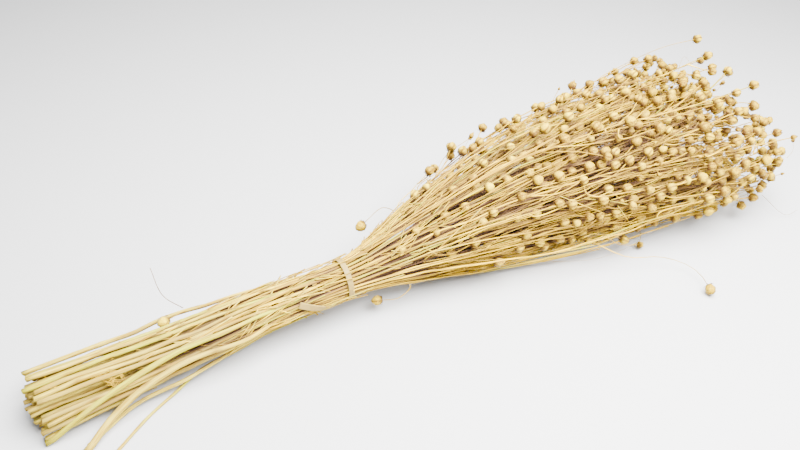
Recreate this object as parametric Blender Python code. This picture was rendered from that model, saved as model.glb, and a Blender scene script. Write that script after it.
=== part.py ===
"""A bunch of dried flax lying on a table: stems with their seed bolls, held by a flat elastic tie.

Metres, +Z up. The stems run along X, cut ends towards -X and seed heads towards +X.
The bunch is worked out with the middle of the tie over x = 0, y = 0 and the table at z = 0.
"""

import math
import random

import bmesh
import bpy
import numpy as np
from mathutils import Matrix, Quaternion, Vector

# Where the middle of the finished bunch lies, seen from the tie. It becomes the origin.
CENTRE_X = 0.073
CENTRE_Y = -0.0035

# Stems stand in rings round the middle one where the tie squeezes them together.
RING_PITCH = 0.00216
OUTER_RING = 5
RINGS_BUILT = (5, 4)
STEMS_PER_RING_STEP = 6
TIE_RADIUS = OUTER_RING * RING_PITCH

# Heights of the bunch's axis above the table, at places along X.
AXIS_HEIGHTS = ((-0.190, 0.0133), (-0.145, 0.0140), (-0.118, 0.0160), (-0.090, 0.0193), (-0.050, 0.0236),
                (0.0, 0.0265), (0.10, 0.0345), (0.20, 0.0415), (0.34, 0.0470))

# How far the outer ring lies from the axis at the cut ends.
BUTT_X = -0.182
BUTT_RAGGED = 0.006
BUTT_BEND = 0.55
BUTT_SIDE = 0.0135
BUTT_UP = 0.0118
BUTT_LEAN = {5: 0.0026, 4: 0.0020}
BUTT_WANDER = {5: 0.0006, 4: 0.0003}

# How far it lies from the axis in the head. The reach grows up to the place "at", the quicker at
# first the larger "swell" is.
HEAD_FAR = dict(reach=0.069, at=0.24, swell=2.15)
HEAD_NEAR = dict(reach=0.055, at=0.27, swell=1.2)
HEAD_UP = dict(reach=0.044, at=0.22, swell=2.15)
WAIST_SOFTNESS = 0.06
LOW_STEMS_IN_HEAD = 0.0050
LOW_FROM_X = 0.10
FLATTENING = 0.22
HEAD_LEAN = 0.006
HEAD_WANDER = 0.0085

# The head is rounded: its upper near side ends first, and no two tips are level.
END_X = 0.330
END_CUT_BACK = 0.024
END_CUT_SIDE = math.radians(120)
TIP_RAGGED = 0.065

# Radius of the thickest stem along the bunch.
RADIUS_STATIONS = (-0.19, 0.0, 0.12, 0.34)
RADIUS_VALUES = (0.00106, 0.00092, 0.00080, 0.00042)
THINNEST_STEM = 0.78
SWELL_FROM_X = 0.15 * BUTT_X
SWELL_FULL_X = 0.65 * BUTT_X
STEM_SIDES = {5: 5, 4: 4}

# Places along X through which every stem's route goes, between its cut end and its tip.
ROUTE_STATIONS = (-0.045, 0.004, 0.032, 0.066, 0.115)
GAP = 0.0002

# How far a stem turns about the bunch's axis on its way to the tip and to the cut end, and the
# waves it wanders in: how quick they are along X, and their sizes, two sideways and two upwards.
TURN_TO_TIP = (0.22, 0.42)
TURN_TO_CUT = (0.10, 0.17)
WAVE_RATES = (8, 19)
WAVE_SIZES = (1.0, 0.5, 0.7, 0.35)
CUT_SLOPE = 0.5

# Side branches with a seed boll at the end: from where to where on the way to the tip they leave.
BRANCH_SPANS = {5: ((0.42, 0.60), (0.64, 0.84)), 4: ((0.50, 0.82),)}
BRANCH_LENGTH = (0.026, 0.058)
BRANCH_LEAN = (0.16, 0.42)
BRANCH_AROUND = 1.6
OUTSIDE_MOST = 0.15
BRANCH_RADIUS = 0.00036
BOLL_RADIUS = (0.0034, 0.0041)
BOLL_SWELL = 1.06
BOLL_RINGS = ((0.28, 0.72, 1), (1.12, BOLL_SWELL, 2))
BOLL_POINT = 2.12
FORK_LENGTH = 0.0022
FORK_FORWARD = 0.0045
FORK_STANDS_OFF = 0.0005
FORK_ROOM = 0.006

# Looking for room: how often a course is drawn again, and how a tip gives way to what is there.
TRIES = 250
POINT_LIKE = Vector((1e-6, 0, 0))
SETTLE_STEPS = 10
SETTLE_BACK = 0.12
LOW_BOLL = 0.004

# The flat elastic tie: a ring, and its doubled loose end lying along the stems on the near side.
TIE_WIDTH = 0.0035
TIE_THICKNESS = 0.0009
TIE_SEGMENTS = 24
TIE_SLACK = 0.00045
TONGUE_LENGTH = 0.031
TONGUE_STARTS = math.radians(246)
TONGUE_ENDS = math.radians(156)
TONGUE_LIFT = 0.0007
TONGUE_STEPS = 8

# Stems whose cut ends lie apart from the others, by ring and place in the ring: their route from
# behind the tie to the cut end, and how much thicker they are there.
STRAY_BUTTS = {
    (5, 3): (((-0.062, 0.0100, 0.0318), (-0.078, 0.0135, 0.0292), (-0.103, 0.0182, 0.0240),
              (-0.186, 0.0240, 0.0130)), 1.15),
    (5, 12): (((-0.060, -0.0122, 0.0304), (-0.110, -0.0130, 0.0252), (-0.138, -0.0154, 0.0188),
               (-0.167, -0.0178, 0.0078), (-0.178, -0.0175, 0.0021)), 1.35),
    (5, 15): (((-0.063, -0.0147, 0.0224), (-0.105, -0.0148, 0.0206), (-0.121, -0.0157, 0.0162),
               (-0.141, -0.0200, 0.0098), (-0.161, -0.0325, 0.0018)), 1.38),
    (5, 18): (((-0.074, -0.0100, 0.0110), (-0.108, -0.0140, 0.0060), (-0.133, -0.0168, 0.0040),
               (-0.159, -0.0285, 0.0013)), 0.95),
    (5, 19): (((-0.070, -0.0066, 0.0076), (-0.096, -0.0088, 0.0040), (-0.108, -0.0140, 0.0018),
               (-0.123, -0.0215, 0.0012), (-0.148, -0.0395, 0.0009)), 0.75),
}

# Seed bolls that stand clear of the bunch: middle of the boll, its radius, where the stalk leaves
# its stem along X, and the places that the stalk passes through.
LONE_BOLLS = (
    dict(boll=(0.0240, 0.0260, 0.0400), radius=0.0038, leaves=0.054, stalk=((0.044, 0.0300, 0.0450),)),
    dict(boll=(0.0830, 0.0405, 0.0550), radius=0.0038, leaves=0.048, stalk=((0.066, 0.0340, 0.0490),)),
    dict(boll=(0.1030, 0.0470, 0.0640), radius=0.0039, leaves=0.062, stalk=((0.088, 0.0340, 0.0590),)),
    dict(boll=(0.3200, 0.0510, 0.0930), radius=0.0039, leaves=0.205,
         stalk=((0.224, 0.0500, 0.0820), (0.255, 0.0525, 0.0880), (0.290, 0.0525, 0.0930))),
    dict(boll=(0.0170, -0.0100, 0.0090), radius=0.0037, leaves=0.044, stalk=((0.030, -0.0150, 0.0100),)),
    dict(boll=(0.2110, -0.0960, 0.0041), radius=0.0038, leaves=0.150,
         stalk=((0.178, -0.0540, 0.0130), (0.205, -0.0620, 0.0080), (0.2155, -0.0750, 0.0055),
                (0.2150, -0.0870, 0.0046))),
    dict(boll=(0.2040, -0.0400, 0.0032), radius=0.0029, leaves=0.156, stalk=((0.180, -0.0430, 0.0150),)),
    dict(boll=(-0.1022, 0.0222, 0.0202), radius=0.0038, leaves=-0.076, stalk=((-0.090, 0.0195, 0.0250),)),
)

STRAW_COLOUR = (0.74, 0.61, 0.33)
RUBBER_COLOUR = (0.83, 0.71, 0.58)
SHARP_FROM = math.radians(50)
SEED = 11


# Shape of the whole bunch

def axis_height(x):
    return float(np.interp(x, *zip(*AXIS_HEIGHTS)))


def softened(share):
    """A distance that starts gently, so that the stems bend at the waist without a corner."""
    return math.sqrt(share**2 + WAIST_SOFTNESS**2) - WAIST_SOFTNESS


def head_reach(x, reach, at, swell):
    share = 1 - (1 - min(softened(x / at), 1.0)) ** swell
    return TIE_RADIUS + (reach - TIE_RADIUS) * share


def butt_reach(x, reach):
    return TIE_RADIUS + (reach - TIE_RADIUS) * softened(x / BUTT_X)


def reach(x, across, upwards):
    """From the axis out to the outer ring: sideways and up or down, on the asked sides."""
    if x < 0:
        side, above = butt_reach(x, BUTT_SIDE), butt_reach(x, BUTT_UP)
        return side, above if upwards > 0 else min(above, axis_height(x) - RADIUS_VALUES[0])
    side = head_reach(x, **(HEAD_FAR if across > 0 else HEAD_NEAR))
    if upwards > 0:
        return side, head_reach(x, **HEAD_UP)
    share = min(x / LOW_FROM_X, 1.0)
    at_tie = axis_height(0) - TIE_RADIUS
    lowest = at_tie + (LOW_STEMS_IN_HEAD - at_tie) * share**2 * (3 - 2 * share)
    return side, axis_height(x) - lowest


def section_point(x, share, angle):
    """A point of the cross-section at x. share is 1 on the outer ring, and angle goes from the
    far side at 0 over the top at 90 degrees to the near side."""
    across, upwards = math.cos(angle), math.sin(angle)
    side, rise = reach(x, across, upwards)
    flatness = 1.0 - FLATTENING * min(max(x / LOW_FROM_X, 0), 1) if upwards < 0 else 1.0
    height = share * math.copysign(abs(upwards) ** flatness, upwards) * rise
    return Vector((x, share * across * side, axis_height(x) + height))


def outside(point):
    """How far a point lies outside the outer ring, as a share of the ring's reach."""
    up = point.z - axis_height(point.x)
    side, rise = reach(point.x, point.y, up)
    return math.hypot(point.y / side, up / rise) - 1


def stem_radius(x, thickness, butt_swell):
    swell = 1 + (butt_swell - 1) * min(max((x - SWELL_FROM_X) / (SWELL_FULL_X - SWELL_FROM_X), 0.0), 1.0)
    return thickness * swell * float(np.interp(x, RADIUS_STATIONS, RADIUS_VALUES))


# What is already placed

class Placed:
    """Everything that has its place, kept as rounded rods so that nothing new runs into it."""

    def __init__(self):
        self.starts, self.ends, self.radii = np.zeros((0, 3)), np.zeros((0, 3)), np.zeros(0)

    def add(self, points, radii):
        points, radii = np.array([tuple(p) for p in points]), np.array(radii)
        self.starts = np.vstack([self.starts, points[:-1]])
        self.ends = np.vstack([self.ends, points[1:]])
        self.radii = np.concatenate([self.radii, np.maximum(radii[:-1], radii[1:])])

    def add_ball(self, centre, radius):
        self.add([centre, centre + POINT_LIKE], [radius] * 2)

    def free(self, points, radii):
        """Whether a chain of rods keeps the gap to everything placed."""
        points, radii = np.array([tuple(p) for p in points]), np.array(radii)
        distance = rod_distance(points[:-1, None], points[1:, None], self.starts[None], self.ends[None])
        room = np.maximum(radii[:-1], radii[1:])[:, None] + self.radii[None] + GAP
        return bool((distance > room).all())

    def ball_free(self, centre, radius):
        return self.free([centre, centre + POINT_LIKE], [radius] * 2)


def rod_distance(p, q, r, s):
    """Shortest distance between the segments p-q and r-s, for arrays of them."""
    d1, d2, w = q - p, s - r, p - r
    a, e = (d1 * d1).sum(-1), (d2 * d2).sum(-1)
    b, c, f = (d1 * d2).sum(-1), (d1 * w).sum(-1), (d2 * w).sum(-1)
    t1 = np.clip((b * f - c * e) / np.maximum(a * e - b * b, 1e-18), 0, 1)
    t2 = np.clip((b * t1 + f) / e, 0, 1)
    t1 = np.clip((b * t2 - c) / a, 0, 1)
    nearest = w + d1 * t1[..., None] - d2 * t2[..., None]
    return np.sqrt((nearest * nearest).sum(-1))


class Stem:
    """The route of one stem, from its cut end to the tip that carries its seed boll."""

    def __init__(self, ring, index):
        self.ring, self.index = ring, index
        self.rng = random.Random(SEED * 1000 + ring * 100 + index)
        draw = self.rng.uniform
        self.seat = 2 * math.pi * (index + 0.5 * (ring % 2)) / (STEMS_PER_RING_STEP * ring)
        self.butt = BUTT_X + draw(-BUTT_RAGGED, BUTT_RAGGED)
        cut_back = END_CUT_BACK * max(math.cos(self.seat - END_CUT_SIDE), 0.0)
        self.tip = END_X - cut_back - TIP_RAGGED * draw(0, 1)
        self.turn_way = 1 if ring % 2 else -1
        self.boll = draw(*BOLL_RADIUS)
        self.cut_slope = draw(-CUT_SLOPE, CUT_SLOPE)
        self.butt_swell = 1.0
        self.branches = []

    def draw_course(self, calm):
        """Draws how the stem turns about the bunch's axis, leans away from it and wanders."""
        draw = self.rng.uniform
        self.calm = calm
        self.thickness = draw(THINNEST_STEM, 1.0 - 0.5 * (1.0 - THINNEST_STEM) * (1 - calm))
        self.turn_head = self.turn_way * draw(*TURN_TO_TIP)
        self.turn_butt = -self.turn_way * draw(*TURN_TO_CUT)
        self.lean_head = self.turn_way * HEAD_LEAN * draw(0, 1) ** (2 * calm)
        self.lean_butt = self.turn_way * BUTT_LEAN[self.ring] * draw(0, 1)
        self.waves = [(draw(*WAVE_RATES), draw(0, 2 * math.pi), size) for size in WAVE_SIZES]

    def wander(self, x):
        """Sideways and upward wandering off the even layout: nothing at the tie."""
        size = HEAD_WANDER * x / END_X if x > 0 else BUTT_WANDER[self.ring] * x / BUTT_X
        shifts = [size * share * (math.sin(f * x + p) - math.sin(p)) for f, p, share in self.waves]
        return Vector((0, shifts[0] + shifts[1], shifts[2] + shifts[3])) * self.calm

    def point(self, x):
        far = x / END_X if x > 0 else x / BUTT_X
        turn, lean = (self.turn_head, self.lean_head) if x > 0 else (self.turn_butt, self.lean_butt)
        even = section_point(x, self.ring / OUTER_RING, self.seat + turn * far)
        away = (even - Vector((x, 0, axis_height(x)))).normalized()
        place = even + away * lean * far + self.wander(x)
        place.z = max(place.z, stem_radius(x, self.thickness, self.butt_swell) + GAP / 2)
        return place

    def lay_out(self):
        stray = STRAY_BUTTS.get((self.ring, self.index))
        if stray:
            self.butt_swell = stray[1]
            self.points = [Vector(p) for p in reversed(stray[0])]
        else:
            self.points = [self.point(self.butt), self.point(self.butt * BUTT_BEND)]
        self.points += [self.point(x) for x in (*ROUTE_STATIONS, self.tip)]
        self.radii = [stem_radius(p.x, self.thickness, self.butt_swell) for p in self.points]

    def place(self, placed):
        """Draws courses, ever calmer, until one is clear of what is placed before."""
        for attempt in range(TRIES):
            self.draw_course(1 - attempt / TRIES)
            self.lay_out()
            self.settle_tip(placed)
            if placed.free(self.points, self.radii) and placed.ball_free(self.boll_centre(), self.boll):
                break
        else:
            print("no clear route for stem", self.ring, self.index)
        self.occupy(placed)

    def occupy(self, placed):
        placed.add(self.points, self.radii)
        placed.add_ball(self.boll_centre(), self.boll)

    def boll_centre(self):
        return self.points[-1] + (self.points[-1] - self.points[-2]).normalized() * self.boll

    def settle_tip(self, placed):
        """Shortens the stem until its boll is free, and lets a low boll lie on the table."""
        for _ in range(SETTLE_STEPS):
            height = self.boll_centre().z - self.boll * BOLL_SWELL
            if height < LOW_BOLL:
                self.points[-1].z -= height
            if placed.ball_free(self.boll_centre(), self.boll):
                return
            self.points[-1] = self.points[-1].lerp(self.points[-2], SETTLE_BACK)

    def at(self, x):
        """The point and direction of the route at a place along X."""
        for here, ahead in zip(self.points, self.points[1:]):
            if here.x <= x <= ahead.x:
                return here.lerp(ahead, (x - here.x) / (ahead.x - here.x)), (ahead - here).normalized()
        return self.points[-1].copy(), (self.points[-1] - self.points[-2]).normalized()

    def radius_at(self, x):
        return stem_radius(x, self.thickness, self.butt_swell)


def square_to(axis, hint):
    """The direction square to an axis that is nearest to a hint."""
    return (hint - axis * hint.dot(axis)).normalized()


def add_branch(stem, placed, leaves, out, route, centre, boll, must=False):
    """Adds a branch if it is clear of what is placed. The first ring stands off the stem."""
    start, along = stem.at(leaves)
    if (route or [centre])[0].x < start.x:
        along = -along
    stand_off = stem.radius_at(leaves) + BRANCH_RADIUS + FORK_STANDS_OFF
    points = [start + out * stand_off + along * FORK_FORWARD, *route]
    toward = (centre - points[-1]).normalized()
    points.append(centre - toward * boll)
    radii = [BRANCH_RADIUS] * len(points)
    clear = (placed.free(points, radii) and placed.ball_free(centre, boll * BOLL_SWELL)
             and min(p.z for p in points) > BRANCH_RADIUS)
    if not clear and must:
        print("lone boll not clear", tuple(round(v, 4) for v in centre))
    if clear or must:
        stem.branches.append(dict(leaves=leaves, out=out, points=points, boll=boll))
        placed.add(points, radii)
        placed.add_ball(centre, boll * BOLL_SWELL)
    return clear or must


def add_lone_boll(stems, placed, boll, radius, leaves, stalk):
    """Hangs one boll that stands clear of the bunch on the stem that passes nearest."""
    route = [Vector(p) for p in stalk]
    free = [stem for stem in stems if not taken(stem, leaves)]
    stem = min(free, key=lambda s: (s.at(leaves)[0] - route[0]).length)
    start, along = stem.at(leaves)
    out = square_to(along, route[0] - start)
    add_branch(stem, placed, leaves, out, route, Vector(boll), radius, must=True)


def taken(stem, leaves):
    """Whether another branch leaves the stem too near to this place."""
    return any(abs(b["leaves"] - leaves) < FORK_ROOM for b in stem.branches)


def try_branch(stem, placed, span):
    """Looks for a free place for a side branch in one part of the stem."""
    draw = stem.rng.uniform
    for _ in range(TRIES):
        leaves = draw(*span) * stem.tip
        length, lean = draw(*BRANCH_LENGTH), draw(*BRANCH_LEAN)
        boll = draw(*BOLL_RADIUS)
        start, along = stem.at(leaves)
        away = square_to(along, start - Vector((leaves, 0, axis_height(leaves))))
        out = Quaternion(along, draw(-BRANCH_AROUND, BRANCH_AROUND)) @ away
        centre = start + along * length + out * length * lean
        lying = boll * BOLL_SWELL
        if centre.z < lying + LOW_BOLL:
            centre.z = lying
        if taken(stem, leaves) or outside(centre) > OUTSIDE_MOST:
            continue
        if add_branch(stem, placed, leaves, out, [], centre, boll):
            return


# Solids

def set_corners(face, centre, first, second, angles, radius):
    for vert, angle in zip(face.verts, angles):
        vert.co = centre + first * (radius * math.cos(angle)) + second * (radius * math.sin(angle))


def push_out(bm, face, *ring):
    """Extrudes a face and sets its corners on a new ring."""
    face = bmesh.ops.extrude_discrete_faces(bm, faces=[face])["faces"][0]
    set_corners(face, *ring)
    return face


def corner_angles(face, first, second):
    """The angles of a face's corners about its middle, evened out to a regular figure."""
    middle = face.calc_center_median()
    raw = [math.atan2((v.co - middle).dot(second), (v.co - middle).dot(first)) for v in face.verts]
    step = 2 * math.pi / len(raw)
    if math.sin(raw[1] - raw[0]) < 0:
        step = -step
    drift = sum(math.remainder(a - raw[0] - step * i, 2 * math.pi) for i, a in enumerate(raw)) / len(raw)
    return [raw[0] + drift + step * i for i in range(len(raw))]


def grow(bm, face, before, points, radii, first, boll):
    """Extrudes a face along a route and ends it in a pointed seed boll. Gives the side faces passed."""
    angles = None
    passed = []
    for i, (point, radius) in enumerate(zip(points, radii)):
        after = points[i + 1] if i + 1 < len(points) else 2 * point - before
        axis = (after - before).normalized()
        first = square_to(axis, first)
        second = axis.cross(first)
        if angles is None:
            angles = corner_angles(face, first, second)
        face = push_out(bm, face, point, first, second, angles, radius)
        passed.append([f for e in face.edges for f in e.link_faces if f is not face])
        before = point
    half_step = math.pi / len(angles)
    for along, wide, turns in BOLL_RINGS:
        turned = [a + half_step * turns for a in angles]
        face = push_out(bm, face, before + axis * boll * along, first, second, turned, boll * wide)
    apex = bmesh.ops.poke(bm, faces=[face])["verts"][0]
    apex.co = before + axis * boll * BOLL_POINT
    return passed


def build_stem(name, stem, material):
    """Grows the stem ring by ring from its cut end, then its branches out of the side faces."""
    rings = [(p, r, None) for p, r in zip(stem.points, stem.radii)]
    for branch in stem.branches:
        for x, mark in ((branch["leaves"], None), (branch["leaves"] + FORK_LENGTH, branch)):
            at = next(i for i, ring in enumerate(rings) if ring[0].x > x)
            rings.insert(at, (stem.at(x)[0], stem.radius_at(x), mark))

    bm = bmesh.new()
    start, after = rings[0][0], rings[1][0]
    axis = (after - start).normalized()
    up = square_to(axis, Vector((0, 0, 1)))
    turn = Matrix((up, axis.cross(up), axis)).transposed().to_4x4()
    bmesh.ops.create_cone(bm, cap_ends=True, segments=STEM_SIDES[stem.ring], radius1=rings[0][1],
                          radius2=rings[1][1], depth=(after - start).length,
                          matrix=Matrix.Translation((start + after) / 2) @ turn)
    for vert in bm.verts:
        if (vert.co - start).dot(axis) < FORK_LENGTH:
            vert.co += axis * stem.cut_slope * (vert.co - start).dot(up)
    front = max(bm.faces, key=lambda f: f.calc_center_median().dot(axis))
    passed = grow(bm, front, start, [r[0] for r in rings[2:]], [r[1] for r in rings[2:]], up, stem.boll)

    bm.normal_update()
    for sides, (point, radius, branch) in zip(passed, rings[2:]):
        if branch:
            side = max(sides, key=lambda f: f.normal.dot(branch["out"]))
            along = (branch["points"][1] - point).normalized()
            thin = [BRANCH_RADIUS] * len(branch["points"])
            grow(bm, side, point, branch["points"], thin, square_to(branch["out"], along), branch["boll"])
    return finished(name, bm, material)


def tongue_route():
    """Places along the loose end: middle of the strip, its outward and its width direction."""
    lift = RADIUS_VALUES[0] + TIE_SLACK + TIE_THICKNESS / 2
    middles, outwards = [], []
    for step in range(TONGUE_STEPS + 1):
        share = step / TONGUE_STEPS
        x = -TIE_WIDTH / 2 - share * TONGUE_LENGTH
        base = section_point(x, 1.0, TONGUE_STARTS + (TONGUE_ENDS - TONGUE_STARTS) * share)
        outward = (base - Vector((x, 0.0, axis_height(x)))).normalized()
        middles.append(base + outward * (lift + TONGUE_LIFT * share))
        outwards.append(outward)
    route = []
    for step in range(1, TONGUE_STEPS + 1):
        path = middles[min(step + 1, TONGUE_STEPS)] - middles[step - 1]
        route.append((middles[step], outwards[step], outwards[step].cross(path).normalized()))
    return route


def build_tie(name, material):
    """Spins the strip's section into a flat ring and draws the loose end out of its side."""
    bm = bmesh.new()
    inner = TIE_RADIUS + RADIUS_VALUES[1] + TIE_SLACK
    middle = Vector((0.0, 0.0, axis_height(0.0)))
    step = 2 * math.pi / TIE_SEGMENTS
    first_angle = TONGUE_STARTS - step / 2
    across = Vector((0, math.cos(first_angle), math.sin(first_angle)))
    half = TIE_WIDTH / 2
    corners = [(-half, inner), (half, inner), (half, inner + TIE_THICKNESS), (-half, inner + TIE_THICKNESS)]
    verts = [bm.verts.new(middle + across * r + Vector((x, 0, 0))) for x, r in corners]
    edges = [bm.edges.new((verts[i - 1], verts[i])) for i in range(4)]
    bmesh.ops.spin(bm, geom=verts + edges, cent=middle, axis=Vector((1, 0, 0)), angle=2 * math.pi,
                   steps=TIE_SEGMENTS, use_merge=True)
    bmesh.ops.recalc_face_normals(bm, faces=bm.faces[:])
    outward = Vector((0, math.cos(TONGUE_STARTS), math.sin(TONGUE_STARTS)))
    butt_side = [f for f in bm.faces if f.normal.x < -0.9]
    face = max(butt_side, key=lambda f: (f.calc_center_median() - middle).dot(outward))
    for point, flat, wide in tongue_route():
        before = face.calc_center_median()
        face = bmesh.ops.extrude_discrete_faces(bm, faces=[face])["faces"][0]
        for vert in face.verts:
            lift = math.copysign(TIE_THICKNESS / 2, (vert.co - before).dot(flat))
            side = math.copysign(TIE_WIDTH / 2, (vert.co - before).dot(wide))
            vert.co = point + flat * lift + wide * side
    return finished(name, bm, material)


def finished(name, bm, material):
    """Makes the object, with the origin moved from under the tie to under the middle of the bunch."""
    bmesh.ops.translate(bm, verts=bm.verts[:], vec=Vector((-CENTRE_X, -CENTRE_Y, 0.0)))
    bmesh.ops.triangulate(bm, faces=bm.faces[:], quad_method="SHORT_EDGE")
    bmesh.ops.recalc_face_normals(bm, faces=bm.faces[:])
    if bm.calc_volume(signed=True) < 0:
        bmesh.ops.reverse_faces(bm, faces=bm.faces[:])
    mesh = bpy.data.meshes.new(name)
    bm.to_mesh(mesh)
    bm.free()
    mesh.materials.append(material)
    mesh.shade_smooth()
    mesh.set_sharp_from_angle(angle=SHARP_FROM)
    obj = bpy.data.objects.new(name, mesh)
    bpy.context.scene.collection.objects.link(obj)
    return obj


def make_material(name, colour, roughness):
    material = bpy.data.materials.new(name)
    material.use_nodes = True
    shader = material.node_tree.nodes["Principled BSDF"]
    shader.inputs["Base Color"].default_value = (*colour, 1.0)
    shader.inputs["Roughness"].default_value = roughness
    shader.inputs["Metallic"].default_value = 0.0
    return material


def lay_stems():
    """Finds room for every stem, then hangs the lone bolls, then looks for other side branches."""
    placed = Placed()
    add_tongue(placed)
    for lone in LONE_BOLLS:
        kept_free = [Vector(p) for p in (*lone["stalk"], lone["boll"])]
        placed.add(kept_free, [BRANCH_RADIUS] * len(kept_free))
        placed.add_ball(kept_free[-1], lone["radius"] * BOLL_SWELL)
    stems = [Stem(ring, index) for ring in RINGS_BUILT for index in range(STEMS_PER_RING_STEP * ring)]
    for stem in sorted(stems, key=lambda s: (s.ring, s.index) not in STRAY_BUTTS):
        stem.place(placed)

    placed = Placed()
    add_tongue(placed)
    for stem in stems:
        stem.occupy(placed)
    for lone in LONE_BOLLS:
        add_lone_boll(stems, placed, **lone)
    for number in range(2):
        for stem in stems:
            for span in BRANCH_SPANS[stem.ring][number:number + 1]:
                try_branch(stem, placed, span)
    return stems


def add_tongue(placed):
    for side in (-0.5, 0.0, 0.5):
        line = [point + wide * (TIE_WIDTH * side) for point, _, wide in tongue_route()]
        placed.add(line, [TIE_THICKNESS / 2] * len(line))


def main():
    for obj in list(bpy.data.objects):
        bpy.data.objects.remove(obj)
    straw = make_material("straw", STRAW_COLOUR, 0.6)
    rubber = make_material("rubber", RUBBER_COLOUR, 0.55)
    for number, stem in enumerate(lay_stems(), 1):
        build_stem(f"stem_{number:02d}", stem, straw)
    build_tie("tie_band", rubber)


main()
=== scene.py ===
# A bunch of dried flax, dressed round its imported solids: stems, forked heads, seed bolls and the tie.
# Metres, +Z up. Places are worked out with the tie over x = 0 and y = 0, then moved to the row's frame.
import math
import random

import bpy
import numpy as np
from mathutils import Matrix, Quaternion, Vector
from mathutils.kdtree import KDTree


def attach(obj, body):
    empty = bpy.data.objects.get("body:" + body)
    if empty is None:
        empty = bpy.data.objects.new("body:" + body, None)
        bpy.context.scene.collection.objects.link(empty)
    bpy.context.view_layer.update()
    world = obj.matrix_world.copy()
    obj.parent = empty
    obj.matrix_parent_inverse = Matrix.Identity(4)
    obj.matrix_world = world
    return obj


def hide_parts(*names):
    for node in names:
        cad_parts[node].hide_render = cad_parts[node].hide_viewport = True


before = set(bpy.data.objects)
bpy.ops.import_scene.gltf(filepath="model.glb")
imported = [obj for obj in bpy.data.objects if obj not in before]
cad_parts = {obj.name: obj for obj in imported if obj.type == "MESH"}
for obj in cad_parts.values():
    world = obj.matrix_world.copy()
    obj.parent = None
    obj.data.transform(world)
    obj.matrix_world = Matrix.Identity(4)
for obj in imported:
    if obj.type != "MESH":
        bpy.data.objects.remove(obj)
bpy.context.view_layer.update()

# The whole bunch: stems stand in rings where the tie squeezes them. The solids are the rings in
# solidRings, in this order; the inner rings are made here.
bunch = dict(
    seed=11,
    middle=Vector((0.073, -0.0035, 0.0)),
    pitch=0.00216,
    outerRing=5,
    perRingStep=6,
    solidRings=(5, 4),
    innerRings=(3, 2, 1, 0),
    axis=((-0.190, 0.0133), (-0.145, 0.0140), (-0.118, 0.0160), (-0.090, 0.0193), (-0.050, 0.0236),
          (0.0, 0.0265), (0.10, 0.0345), (0.20, 0.0415), (0.34, 0.0470)),
    softness=0.06,
    stations=(-0.045, 0.004, 0.032, 0.066, 0.115),
    gap=0.0002,
    tries=250,
)
tieRadius = bunch["outerRing"] * bunch["pitch"]

# The cut ends, on the -X side of the tie
butt = dict(
    x=-0.182, ragged=0.006, bend=0.55, side=0.0135, up=0.0118, cutSlope=0.5,
    lean={5: 0.0026, 4: 0.0020, 3: 0.0015, 2: 0.0010, 1: 0.0006, 0: 0.0},
    wander={5: 0.0006, 4: 0.0003, 3: 0.0003, 2: 0.0003, 1: 0.0002, 0: 0.0001},
    turn=(0.10, 0.17),
)

# The spreading head, on the +X side
head = dict(
    far=dict(reach=0.069, at=0.24, swell=2.15),
    near=dict(reach=0.055, at=0.27, swell=1.2),
    up=dict(reach=0.044, at=0.22, swell=2.15),
    lowest=0.0050, lowFrom=0.10, flattening=0.22,
    lean=0.006, wander=0.0085, turn=(0.22, 0.42), waveRates=(8, 19), waveSizes=(1.0, 0.5, 0.7, 0.35),
    end=0.330, cutBack=0.024, cutSide=math.radians(120), tipRagged=0.065,
)

stemSize = dict(
    at=(-0.19, 0.0, 0.12, 0.34),
    radius=(0.00106, 0.00092, 0.00080, 0.00042),
    thinnest=0.78,
    swellFrom=0.15, swellFull=0.65,
    settleSteps=10, settleBack=0.12, lowBoll=0.004,
)

# Side branches that the solids have, by ring, and how they hang
branch = dict(
    spans={5: ((0.42, 0.60), (0.64, 0.84)), 4: ((0.50, 0.82),)},
    length=(0.026, 0.058), lean=(0.16, 0.42), around=1.6, outsideMost=0.15,
    radius=0.00036, loneRadius=0.00020, forward=0.0045, standsOff=0.0005, forkRoom=0.006,
    bollRadius=(0.0034, 0.0041), bollSwell=1.06, shifted=(-0.0024, -0.0072, 0.0060),
)

# Stems whose cut ends lie apart, by ring and place: route behind the tie, and how thick there
strayButts = {
    (5, 3): (((-0.062, 0.0100, 0.0318), (-0.078, 0.0135, 0.0292), (-0.103, 0.0182, 0.0240),
              (-0.186, 0.0240, 0.0130)), 1.15),
    (5, 12): (((-0.060, -0.0122, 0.0304), (-0.110, -0.0130, 0.0252), (-0.138, -0.0154, 0.0188),
               (-0.167, -0.0178, 0.0078), (-0.178, -0.0175, 0.0021)), 1.35),
    (5, 15): (((-0.063, -0.0147, 0.0224), (-0.105, -0.0148, 0.0206), (-0.121, -0.0157, 0.0162),
               (-0.141, -0.0200, 0.0098), (-0.161, -0.0325, 0.0018)), 1.38),
    (5, 18): (((-0.074, -0.0100, 0.0110), (-0.108, -0.0140, 0.0060), (-0.133, -0.0168, 0.0040),
               (-0.159, -0.0285, 0.0013)), 0.95),
    (5, 19): (((-0.070, -0.0066, 0.0076), (-0.096, -0.0088, 0.0040), (-0.108, -0.0140, 0.0018),
               (-0.123, -0.0215, 0.0012), (-0.148, -0.0395, 0.0009)), 0.75),
}

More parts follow.
